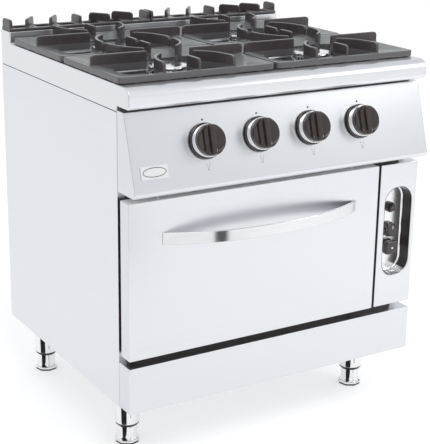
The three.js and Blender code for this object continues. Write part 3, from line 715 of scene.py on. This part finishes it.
def curved_fin(sign_x, sign_y):
    half = SUPPORT_HALF.y
    guide = [Vector(p) for p in ((88, half - 1), (87, 114), (77, 80), (60, 55), (42, 39))]
    path = []
    for i in range(len(guide) - 1):
        before = guide[max(i - 1, 0)]
        after = guide[min(i + 2, len(guide) - 1)]
        for k in range(5):
            t = k / 5
            a = (guide[i + 1] - before) * 0.5
            b = (after - guide[i]) * 0.5
            path.append(
                guide[i] * (2 * t ** 3 - 3 * t ** 2 + 1) + a * (t ** 3 - 2 * t ** 2 + t)
                + guide[i + 1] * (-2 * t ** 3 + 3 * t ** 2) + b * (t ** 3 - t ** 2)
            )
    path.append(guide[-1])
    loops = []
    for i, point in enumerate(path):
        along = (path[min(i + 1, len(path) - 1)] - path[max(i - 1, 0)]).normalized()
        side = Vector((-along.y, along.x)) * 3.5
        left, right = point + side, point - side
        reach = i / (len(path) - 1)
        top = FIN_TOP - 6 * max(0.0, 1 - reach * 14) - 2 * max(0.0, (reach - 0.95) / 0.05)
        foot = FIN_BOTTOM
        loops.append([
            (sign_x * p.x, sign_y * min(p.y, half), z)
            for p, z in ((left, foot), (right, foot), (right, top), (left, top))
        ])
    return solid(loops)


def foot_pad(x, y):
    """Outline of a small pad on which the rim rests."""
    return rounded_rect(4.5, 4.5, 2, (x, y), 3)


def pan_support():
    half_x, half_y, _ = SUPPORT_HALF
    sections = [
        (half_x, half_y, 10, RIM_FOOT), (half_x, half_y, 10, RIM_TOP),
        (half_x - 8, half_y - 8, 10, RIM_TOP), (152, 99, 60, RIM_TOP - 10.5),
        (141, 88, 58, RIM_TOP - 12), (141, 88, 58, RIM_TOP - 17),
        (half_x - 8, half_y - 8, 10, FIN_BOTTOM + 7), (half_x - 8, half_y - 8, 10, RIM_FOOT),
    ]
    rings = [level(rounded_rect(sa, sb, r, steps=10), z) for sa, sb, r, z in sections]
    long_fin = straight_fin(half_x - 1, 56)
    short_fin = moved(straight_fin(half_y - 1, 88), Matrix.Rotation(math.pi / 2, 4, "Z"))
    half_turn = Matrix.Rotation(math.pi, 4, "Z")
    shapes = [loft(rings, wrap=True)]
    for fin in (long_fin, short_fin):
        shapes += [fin, moved(fin, half_turn)]
    shapes += [curved_fin(sx, sy) for sx in (-1, 1) for sy in (-1, 1)]
    for k in (-2, -1, 0, 1, 2):
        for sign in (-1, 1):
            shapes.append(slab(foot_pad(k * 78, sign * (half_y - 5)), 7, "z", FIN_BOTTOM + 3))
            shapes.append(slab(foot_pad(sign * (half_x - 5), k * 58), 7, "z", FIN_BOTTOM + 3))
    return merged(*shapes)


support_mesh = cast("pan_support", pan_support(), SUPPORT_IRON, relax=4, keep=0.45)
for place, at in BURNERS.items():
    body = f"pan_support_{place}"
    placed(f"support_casting_{place}", support_mesh, (at.x, at.y, 0), body, [body])

# ---- flue grilles


def flue_grille():
    low, high = box("flue_grille_left")
    half = (high.x - low.x) / 2
    middle = (low.y + high.y) / 2
    plate_top = low.z + 7
    window_x = (-162, -99, -34, 34, 99, 162)
    windows = [rounded_rect(21, 17, 5, (x, middle), 3) for x in window_x]
    rim = rounded_rect(half, 29.5, 3, (0, middle), 3)
    top = filled(rim, windows, lambda a, b: (a, b, plate_top))
    bottom = filled(rim, windows, lambda a, b: (a, b, low.z))
    walls = [loft([level(ring, z) for z in (low.z, plate_top)]) for ring in [rim, *windows]]
    shapes = [merged(top, bottom, *walls)]
    ends = half - 4.5
    lugs = ((-ends, 0), (-135, -36), (-70, -36), (-4, 0), (62, 36), (128, 36), (ends, 0))
    for x, degrees in lugs:
        angle = math.radians(degrees)
        reach = 25 / math.cos(angle)
        profile = [(-reach, low.z + 1), (reach, low.z + 1)]
        profile += arc(reach - 9, high.z - 9, 9, 0, 90, 6) + arc(9 - reach, high.z - 9, 9, 90, 180, 6)
        lug = slab(profile, 8, "x")
        turn = Matrix.Translation((x, middle, 0)) @ Matrix.Rotation(angle, 4, "Z")
        shapes.append(moved(lug, turn))
    return merged(*shapes)


grille_mesh = cast("flue_grille", flue_grille(), IRON, relax=3, keep=0.5)
for side in ("left", "right"):
    body = f"flue_grille_{side}"
    placed(f"flue_casting_{side}", grille_mesh, (centre(body).x, 0, 0), body, [body])

# ---- control panel

PANEL_LOW, PANEL_HIGH = box("control_panel")
JOINTS = {joint["name"]: joint for joint in frame["joints"]}
NORMAL = Vector(JOINTS["tap_one_turn"]["axis"]).normalized()
UP_SLOPE = NORMAL.cross(Vector((1, 0, 0)))
TAP_AT = [Vector(JOINTS[f"tap_{tap}_turn"]["pos_m"]) / MM for tap in TAPS]


def on_panel(x, z, lift=0.0):
    """Matrix of a frame on the sloping face: local x to the right, y up the slope, z outwards."""
    origin = TAP_AT[0] + UP_SLOPE * ((z - TAP_AT[0].z) / UP_SLOPE.z)
    origin.x = x
    axes = Matrix((Vector((1, 0, 0)), UP_SLOPE, NORMAL)).transposed().to_4x4()
    return Matrix.Translation(origin + NORMAL * lift) @ axes


FASCIA_TOP = PANEL_HIGH.z - 2.6
face_top = on_panel(0, FASCIA_TOP).translation
face_foot = on_panel(0, PANEL_LOW.z).translation
panel_corners = [
    (PANEL_HIGH.y, PANEL_LOW.z, 0.6), (PANEL_HIGH.y, FASCIA_TOP, 0.6),
    (face_top.y, FASCIA_TOP, 2.0), (face_foot.y, PANEL_LOW.z, 11.0),
]
panel = extruded(panel_corners, PANEL_LOW.x, PANEL_HIGH.x, 1.4, steps=10)
make("control_fascia", panel, FRONT_STEEL, "range_body", ["control_panel"], 28)

badge = centre("nameplate")
badge_at = on_panel(badge.x, badge.z)


def pad(ring_of, levels):
    """A low pad: ring_of(inset) gives its outline, levels are (inset, height)."""
    return solid([level(ring_of(inset), height) for inset, height in levels])


def card(inset):
    return rounded_rect(33 - inset, 14.3 - inset, max(3 - inset, 0.5), steps=5)


def ellipse(half_a, half_b, z, segments=72):
    turns = [TAU * i / segments for i in range(segments)]
    return [(half_a * math.cos(t), half_b * math.sin(t), z) for t in turns]


plate = pad(card, [(0, 0.3), (0, 1.5), (0.3, 1.8), (0.6, 1.9)])
ring_levels = [(28.6, 10.6, 1.92), (28.5, 10.5, 2.2), (27.1, 9.1, 2.2), (27.0, 9.0, 1.92)]
ring = loft([ellipse(*sizes) for sizes in ring_levels], wrap=True)
make(
    "blank_badge_plate", moved(plate, badge_at), BADGE_STEEL,
    "range_body", ["nameplate"],
)
make("blank_badge_ring", moved(ring, badge_at), INK, "range_body", weighted=False)

# ---- knobs


def ease(value):
    """value held between 0 and 1, with soft ends."""
    held = max(0.0, min(1.0, value))
    return held * held * (3 - 2 * held)


def knob_cap():
    """Cap with a raised grip across its face and a scoop on each side of the grip."""
    radius, rim_z = 34.6, 33.0
    wall = [
        (SOCKET, SOCKET_TOP), (SOCKET, 20.3), (radius - 2, 20.3), (radius - 0.3, 20.7), (radius, 21.5),
        (radius, rim_z - 1.6),
    ]
    rings = [circle(r, z, KNOB_SEGMENTS) for r, z in wall]
    radii = [radius - 0.5, radius - 1.5, radius - 2.4, radius - 3.4, radius - 4.6]
    radii += [radius - 4.6 - 1.3 * k for k in range(1, 24)]
    for r in radii:
        ring = []
        for x, y, _ in circle(r, 0, KNOB_SEGMENTS):
            edge = min(1.0, (radius - r) / 1.5)
            lip = rim_z - 1.6 + 1.6 * math.sin(edge * math.pi / 2)
            inside = ease((radius - 1.8 - r) / 2.6)
            scoop = 4.0 * math.exp(-(((abs(x) - 14) / 8.5) ** 2)) * max(0.0, 1 - (r / radius) ** 6)
            face = rim_z - 1.2 - scoop
            z = lip + (face - lip) * inside
            grip = ease((7.6 - abs(x)) / 3.2)
            shoulder = max(0.0, min(1.0, (radius - 0.6 - r) / 3.0))
            top = rim_z + 5.2 * math.sin(shoulder * math.pi / 2)
            ring.append((x, y, z + (max(top, z) - z) * grip))
        rings.append(ring)
    return solid(rings)


SOCKET = 6.2
SOCKET_TOP = 24.0
KNOB_SEGMENTS = 96
skirt = lathe([
    (SOCKET, 3.7), (39.4, 3.7), (40, 4.2), (40, 6.2), (39.5, 7.2), (38.7, 7.8), (37.9, 8.1), (37.5, 8.0),
    (37.4, 7.0), (SOCKET, 7.0),
], KNOB_SEGMENTS, ring=True)
collar = lathe([
    (SOCKET, 7.1), (36.6, 7.1), (37.2, 8.2), (36.9, 9.2), (36.7, 12.0), (36.7, 17.0), (36.2, 19.6),
    (35.6, 20.2), (SOCKET, 20.2),
], KNOB_SEGMENTS, ring=True)
knob_meshes = [
    ("knob_skirt", mesh("knob_skirt", skirt, KNOB_BLACK), "knob_black"),
    ("knob_collar", mesh("knob_collar", collar, BRIGHT_STEEL), "stainless_bright"),
    ("knob_cap", mesh("knob_cap", knob_cap(), KNOB_BLACK, 60), "knob_black"),
]
for tap, at in zip(TAPS, TAP_AT):
    for part, data, slot in knob_meshes:
        item = linked(f"{part}_{tap}", data)
        turn = on_panel(at.x, at.z)
        turn.translation = turn.translation * MM
        item.matrix_world = turn
        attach(item, f"tap_knob_{tap}")
        if part == "knob_cap":
            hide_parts(f"tap_knob_{tap}")


def disc(radius, height=0.25, segments=32):
    edge = [(radius, 0.02), (radius, height - 0.08), (radius - 0.08, height)]
    return lathe([(0, 0.02), *edge, (0, height)], segments)


def tick(width, height, stroke=1.3):
    """A printed check-shaped mark."""
    shape = [
        (-width / 2, 0), (0, -height), (width / 2, 0), (width / 2 - stroke, 0),
        (0, -height + stroke * 1.6), (-width / 2 + stroke, 0),
    ]
    return slab(shape, 0.2, "z", 0.12)


for tap, at in zip(TAPS, TAP_AT):
    marks = [
        moved(disc(2.4), on_panel(at.x, at.z + 45)),
        moved(disc(1.1), on_panel(at.x, at.z - 60)),
    ]
    make(f"panel_marks_{tap}", merged(*marks), INK, "range_body", weighted=False)
    mark = moved(tick(11, 15, 0.9), on_panel(at.x, at.z - 46))
    make(f"panel_ticks_{tap}", mark, GREY_INK, "range_body", weighted=False)

# ---- door fittings


def handle():
    low, high = box("door_handle")
    at, half = centre("door_handle"), half_size("door_handle")
    bow = high.y - low.y
    thick, edge = 4.5, 1.5
    loops = []
    steps = 96
    for i in range(steps + 1):
        u = -0.992 + 1.984 * i / steps
        x = at.x + half.x * u
        outer = high.y - bow * (1 - abs(u) ** 2.35)
        slope = bow * 2.35 * abs(u) ** 1.35 / half.x
        inner = min(outer + thick * math.sqrt(1 + slope * slope), high.y)
        edge_here = min(edge, (inner - outer) * 0.3)
        middle = ((outer + inner) / 2, at.z)
        ring = rounded_rect((inner - outer) / 2, half.z, edge_here, middle, 4)
        loops.append([(x, y, z) for y, z in ring])
    return solid(loops)


make("bowed_handle", handle(), HANDLE_STEEL, "door", ["door_handle"], 40)

seal_at, seal_half = centre("door_seal"), half_size("door_seal")
cord_radius = 4.6
seal_ring = rounded_rect(
    seal_half.x - cord_radius, seal_half.z - cord_radius, 12, (seal_at.x, seal_at.z), 8,
)
seal_path = []
for i, (a, b) in enumerate(seal_ring):
    c, d = seal_ring[(i + 1) % len(seal_ring)]
    runs = max(1, round(math.hypot(c - a, d - b) / 12))
    seal_path += [(a + (c - a) * k / runs, seal_at.y, b + (d - b) * k / runs) for k in range(runs)]
seal = tube(seal_path, cord_radius, 12, closed=True)
make("rope_seal", seal, ROPE, "door", ["door_seal"], 80, weighted=False)

DOOR_TOP = box("door_outer")[1].z
UP = (0, 0, 1)
DOOR_SCREW_Y = -299
for k, x in enumerate((-318, 210.6)):
    screw(f"door_top_screw_{k}", (x, DOOR_SCREW_Y, DOOR_TOP), UP, "door")

# ---- control column and recess

COLUMN_LOW, COLUMN_HIGH = box("control_column")
RECESS_LOW, RECESS_HIGH = box("control_recess")
RECESS = centre("control_recess")
RECESS_FLOOR = RECESS_HIGH.y - 1.5
HOLE = (42, 114, 38)


def stadium(inset):
    return rounded_rect(HOLE[0] - inset, HOLE[1] - inset, HOLE[2] - inset, (RECESS.x, RECESS.z), 14)


def column():
    """Folded column: face with a turned-in stadium opening, and returns to the body."""
    face_y = COLUMN_LOW.y
    edge, sheet, back = 1.6, 1.5, COLUMN_HIGH.y
    middle, half = centre("control_column"), half_size("control_column")
    at = (middle.x, middle.z)
    levels = [(sheet, face_y + sheet), (sheet, back), (0, back)]
    levels += [(edge * inset, face_y + edge * behind) for behind, inset in quarter(4)]
    loops = [
        upright(rounded_rect(half.x - inset, half.z - inset, 2.6 - inset, at, 5), y) for inset, y in levels
    ]
    lip = [upright(stadium(-3 * grow), face_y + 3 * behind) for grow, behind in quarter(5)]
    lip.append(upright(stadium(0), face_y + 5))
    rim, hole = ([(p[0], p[2]) for p in ring] for ring in (loops[-1], lip[0]))
    front = filled(rim, [hole], lambda a, b: (a, face_y, b))
    return merged(loft(loops), front, loft(lip))


make("column_sheet", column(), FRONT_STEEL, "range_body", ["control_column"], 28)

cup_levels = [(0.5, RECESS_LOW.y + 1.2), (1.0, RECESS_FLOOR - 8)]
cup_levels += [(1.0 + 6 * inset, RECESS_FLOOR - 6 * before) for before, inset in quarter(6)]
cup = loft([upright(stadium(inset), y) for inset, y in cup_levels], end=True)
recess = make("recess_cup", cup, CUP_STEEL, "range_body", ["control_recess"], 40)
recess.data.materials.append(CUP_SHADE)
# painted shade: the recess wall faces on the right-hand side take the near-black CUP_SHADE steel
for face in recess.data.polygons:
    painted_shade_wall = face.center.x > (RECESS.x + 30) * MM and face.center.y < (RECESS_FLOOR - 3) * MM
    face.material_index = 1 if painted_shade_wall and abs(face.normal.x) > 0.3 else 0

# ---- recess controls


def control(name, shape, at, material, body, nodes=(), weighted=True):
    """A shape made about +Z, turned to stand out of the recess floor at the height of at."""
    axes = Matrix(((1, 0, 0), (0, 0, -1), (0, 1, 0))).to_4x4()
    turned = moved(shape, Matrix.Translation((RECESS.x, RECESS_FLOOR, at.z)) @ axes)
    make(name, turned, material, body, nodes, weighted=weighted)


PIEZO = centre("piezo_button")
piezo_ring = lathe([
    (0, 0.4), (13, 0.4), (13, 6.6), (12.4, 8.2), (11.2, 9), (10, 9), (9.4, 8.2), (9.4, 3.4), (0, 3.4),
], 48)
control("piezo_bezel", piezo_ring, PIEZO, CONTROL_BLACK, "range_body", ["piezo_igniter"])
plunger = lathe([
    (0, 8.7), (8.4, 8.7), (8.4, 15.2), (7.8, 16.4), (6.6, 17), (5.6, 16.6), (0, 16.2),
], 48)
control("piezo_plunger", plunger, PIEZO, KNOB_BLACK, "piezo_button", ["piezo_button"])

THERMOSTAT = centre("thermostat_knob")


def dial():
    """Thermostat dial with a fluted edge."""
    sections = [
        (18.6, 1.2, 0), (19, 2, 0), (19, 7.6, 0), (18.6, 8.4, 0),
        (16.4, 8.8, 1), (15.8, 17.4, 1), (15, 18.8, 1), (13.6, 19.6, 0),
    ]
    loops = []
    for r, z, flute in sections:
        ring = []
        for i in range(144):
            angle = TAU * i / 144
            radius = r - flute * 0.45 * (1 + math.cos(angle * 18))
            ring.append((radius * math.cos(angle), radius * math.sin(angle), z))
        loops.append(ring)
    return solid(loops)


control(
    "thermostat_dial", dial(), THERMOSTAT, KNOB_BLACK,
    "thermostat_knob", ["thermostat_knob"],
)
dots = []
for k in range(8):
    angle = math.radians(215 - 36 * k)
    dots.append(shifted(disc(0.8, 0.3, 12), 17.3 * math.cos(angle), 17.3 * math.sin(angle), 8.5))
pointer = shifted(slab([(-0.8, 4), (0.8, 4), (0.8, 13), (-0.8, 13)], 0.3), 0, 0, 19.65)
control(
    "thermostat_scale", merged(*dots, pointer), THERMOSTAT, WHITE_INK,
    "thermostat_knob", weighted=False,
)

SAFETY = centre("safety_button")
safety_levels = [(0.6, 6), (0, 7), (0, 18.5), (0.5, 20.4), (1.8, 21.6), (3.4, 21.9)]
safety = pad(lambda inset: rounded_rect(18 - inset, 16.5 - inset, 6 - inset * 0.6, steps=6), safety_levels)
control(
    "safety_valve_button", safety, SAFETY, KNOB_BLACK,
    "safety_button", ["safety_button"],
)
safety_dot = shifted(disc(2.6, 0.3, 24), 0, 0, 21.75)
control(
    "safety_valve_mark", safety_dot, SAFETY, WHITE_INK,
    "safety_button", weighted=False,
)

# ---- legs


def facets(inset, z, sharp):
    """Ring of the foot: round where sharp is 0, eight-sided where it is 1."""
    ring = []
    for i in range(64):
        angle = TAU * i / 64
        local = (math.degrees(angle) + FACET_TURN) % 45 - 22.5
        radius = 27.5 + 27.5 * sharp * (1 / math.cos(math.radians(local)) - 1) - inset
        ring.append((radius * math.cos(angle), radius * math.sin(angle), z))
    return ring


def foot():
    """Levelling foot: a waisted socket on an eight-sided base."""
    sections = [
        (0.4, 4.3, 1), (0.0, 4.8, 1), (0.0, 9.0, 1), (0.9, 9.6, 1), (2.6, 11.5, 0.8), (3.4, 14.5, 0.3),
        (3.6, 17, 0), (3.6, SPLIT - 9, 0), (4.4, SPLIT - 7.6, 0), (6.6, SPLIT - 6.8, 0),
        (6.8, SPLIT - 0.7, 0),
    ]
    return solid([facets(*section) for section in sections])


FACET_TURN = 31.0 + 22.5
SPLIT = box("leg_sleeve_front_left")[0].z
SLEEVE_TOP = box("leg_sleeve_front_left")[1].z
sleeve = lathe([
    (22.4, SPLIT + 3), (22.4, SPLIT), (27.6, SPLIT), (28.6, SPLIT + 0.6), (29, SPLIT + 1.8),
    (29, SLEEVE_TOP - 0.5), (28.4, SLEEVE_TOP - 0.1), (0, SLEEVE_TOP - 0.1),
], 72)
sleeve_mesh = mesh("leg_tube", sleeve, BRIGHT_STEEL)
foot_mesh = mesh("leg_foot", foot(), BRIGHT_STEEL, 26)
sole = solid([facets(0.9, 0, 1), facets(0.2, 0.8, 1), facets(0.2, 4.2, 1)])
pad_mesh = mesh("leg_pad", sole, CONTROL_BLACK)
gasket = lathe([
    (21, SPLIT - 4), (27.6, SPLIT - 4), (28.3, SPLIT - 3.3), (28.3, SPLIT - 0.9), (27.8, SPLIT - 0.3),
    (21, SPLIT - 0.3),
], 72)
gasket_mesh = mesh("leg_gasket", gasket, CONTROL_BLACK)
for place in PLACES:
    at = centre(f"leg_sleeve_{place}")
    here = (at.x, at.y, 0)
    placed(f"leg_tube_{place}", sleeve_mesh, here, "range_body", [f"leg_sleeve_{place}"])
    body = f"leg_foot_{place}"
    placed(f"leg_socket_{place}", foot_mesh, here, body, [body])
    placed(f"leg_pad_{place}", pad_mesh, here, body)
    placed(f"leg_gasket_{place}", gasket_mesh, here, "range_body")

# ---- oven inside


def bar(start, end, radius, segments=10):
    return tube([start, end], radius, segments)


rack_low, rack_high = box("oven_rack")
wire = 3.9
rack_at, rack_half = centre("oven_rack"), half_size("oven_rack")
rack_z = rack_at.z
frame_ring = level(
    rounded_rect(rack_half.x - wire, rack_half.y - wire, 14, (rack_at.x, rack_at.y), 6), rack_z,
)
rods = []
for k in range(1, 18):
    x = rack_low.x + (rack_high.x - rack_low.x) * k / 18
    rods.append(bar((x, rack_low.y + wire, rack_z + 1.2), (x, rack_high.y - wire, rack_z + 1.2), 2.3))
for y in (-70, 105):
    rods.append(bar((rack_low.x + wire, y, rack_z - 1.4), (rack_high.x - wire, y, rack_z - 1.4), 2.5))
rack = merged(tube(frame_ring, wire, closed=True), *rods)
make("wire_rack", rack, BRIGHT_STEEL, "oven_rack", ["oven_rack"], 50)

SHELF_LEVELS = (370, 440, 510)
RUNNER_WIRE = 2.9
for side, inward in (("left", 1), ("right", -1)):
    low, high = box(f"rack_runner_{side}")
    wall = low.x if inward > 0 else high.x
    bend = wall + inward * 14
    parts = []
    for y in (-200, 20, 240):
        parts.append(bar((wall + inward * 3, y, low.z), (wall + inward * 3, y, high.z), RUNNER_WIRE))
    for z in SHELF_LEVELS:
        shelf = [(wall + inward * 5, low.y + 3, z - 3), (bend, low.y + 3, z - 3)]
        shelf += [(bend + inward * a, low.y + 9 - b, z - 3) for a, b in arc(0, 0, 6, 90, 0, 5)]
        shelf += [(bend + inward * a, high.y - 9 + b, z - 3) for a, b in arc(0, 0, 6, 0, 90, 5)]
        shelf += [(wall + inward * 5, high.y - 3, z - 3)]
        parts.append(tube(shelf, RUNNER_WIRE, 10))
    make(
        f"runner_wires_{side}", merged(*parts), BRIGHT_STEEL,
        "range_body", [f"rack_runner_{side}"], 50,
    )

# ---- rear


back_low, back_high = box("back_panel")
back_screws = [(x, z) for x in (-380, -190, 0, 190, 380) for z in (back_low.z + 14, back_high.z - 12)]
back_screws += [(x, z) for x in (-380, 380) for z in (360, 560)]
for k, (x, z) in enumerate(back_screws):
    screw(f"back_screw_{k:02d}", (x, back_high.y - 1.2, z), (0, 1, 0), "range_body", 3.2)
COLUMN_SCREW = (368, -295)
screw("column_screw", (*COLUMN_SCREW, COLUMN_HIGH.z), UP, "range_body")

# ---- camera, floor and light


CAMERA_AT = (-1.5237, -2.5150, 1.3854)
CAMERA_TURN = (31.41, -17.63, 0.90)


def set_camera():
    azimuth, elevation, roll = (math.radians(v) for v in CAMERA_TURN)
    ahead = Vector((
        math.sin(azimuth) * math.cos(elevation), math.cos(azimuth) * math.cos(elevation), math.sin(elevation),
    ))
    right = Vector((math.cos(azimuth), -math.sin(azimuth), 0))
    up = right.cross(ahead)
    side = right * math.cos(roll) + up * math.sin(roll)
    top = up * math.cos(roll) - right * math.sin(roll)
    camera = linked("camera", bpy.data.cameras.new("camera"))
    camera.data.lens = 97.87
    camera.data.sensor_width = 36
    axes = Matrix((side, top, -ahead)).transposed().to_4x4()
    camera.matrix_world = Matrix.Translation(CAMERA_AT) @ axes
    bpy.context.scene.camera = camera


def floor():
    shape = loft([level(rounded_rect(12000, 12000, 3000, steps=12), 0)], end=True)
    material, tree, shader = network("pale_floor")
    cloud = remap(tree, noise(tree, 1.2, 2.0), 0, 1)
    colour = blend_colours(tree, cloud, (0.61, 0.61, 0.61), (0.63, 0.63, 0.63))
    tree.links.new(colour, shader.inputs["Base Color"])
    shader.inputs["Roughness"].default_value = 0.9
    shader.inputs["Specular IOR Level"].default_value = 0.1
    shader.inputs["Emission Color"].default_value = (1, 1, 1, 1)
    shader.inputs["Emission Strength"].default_value = 0.50
    linked("floor", mesh("floor", shape, material))


def reflector(name, at, width, height, turn, shade):
    """Upright studio board that only polished surfaces see."""
    ring = rounded_rect(width / 2, height / 2, min(width * 0.3, 40), (0, height / 2), 4)
    shape = slab(ring, 4, "y")
    material, _, shader = network(name)
    shader.inputs["Base Color"].default_value = (shade, shade, shade, 1)
    shader.inputs["Roughness"].default_value = 0.9
    item = linked(name, mesh(name, shape, material))
    item.location = Vector(at) * MM
    item.rotation_euler = (0, 0, math.radians(turn))
    item.visible_camera = False
    item.visible_diffuse = False
    item.visible_shadow = False


def area(name, at, target, size, power):
    light = bpy.data.lights.new(name, "AREA")
    light.shape = "DISK"
    light.size = size
    light.energy = power
    item = linked(name, light)
    item.location = at
    item.rotation_euler = (Vector(target) - Vector(at)).to_track_quat("-Z", "Y").to_euler()


def sky():
    world = bpy.data.worlds.new("studio")
    bpy.context.scene.world = world
    world.use_nodes = True
    tree = world.node_tree
    back = tree.nodes["Background"]
    place = add_node(tree, "ShaderNodeTexCoord").outputs["Generated"]
    ramp = add_node(tree, "ShaderNodeValToRGB", {"Fac": z_of(tree, place)})
    ramp.color_ramp.elements[0].position = 0.0
    ramp.color_ramp.elements[0].color = (0.95, 0.955, 0.965, 1)
    ramp.color_ramp.elements[1].position = 0.7
    ramp.color_ramp.elements[1].color = (0.80, 0.81, 0.83, 1)
    tree.links.new(ramp.outputs[0], back.inputs["Color"])
    back.inputs["Strength"].default_value = 1.0


set_camera()
floor()
sky()
reflector("board_left", (-2300, -300, 0), 1400, 1700, 90, 0.02)
reflector("board_right", (2300, 200, 0), 1400, 1700, 90, 0.02)
reflector("board_handle", (-126, -1047, 262), 120, 130, 5, 0.005)
for place in PLACES:
    at = centre(f"leg_sleeve_{place}")
    reflector(f"card_{place}", (at.x - 57, at.y - 40, 0), 58, 132, 125, 0.01)
    reflector(f"strip_{place}", (at.x + 7, at.y - 110, 0), 12, 125, 4, 0.12)
area("key", (1.5, -1.5, 1.7), (1.45, -1.4, 0), 0.9, 12)
area("fill", (-0.6, -1.8, 3.6), (0, 0, 0.6), 2.0, 26)
bpy.context.scene.view_settings.view_transform = "Standard"
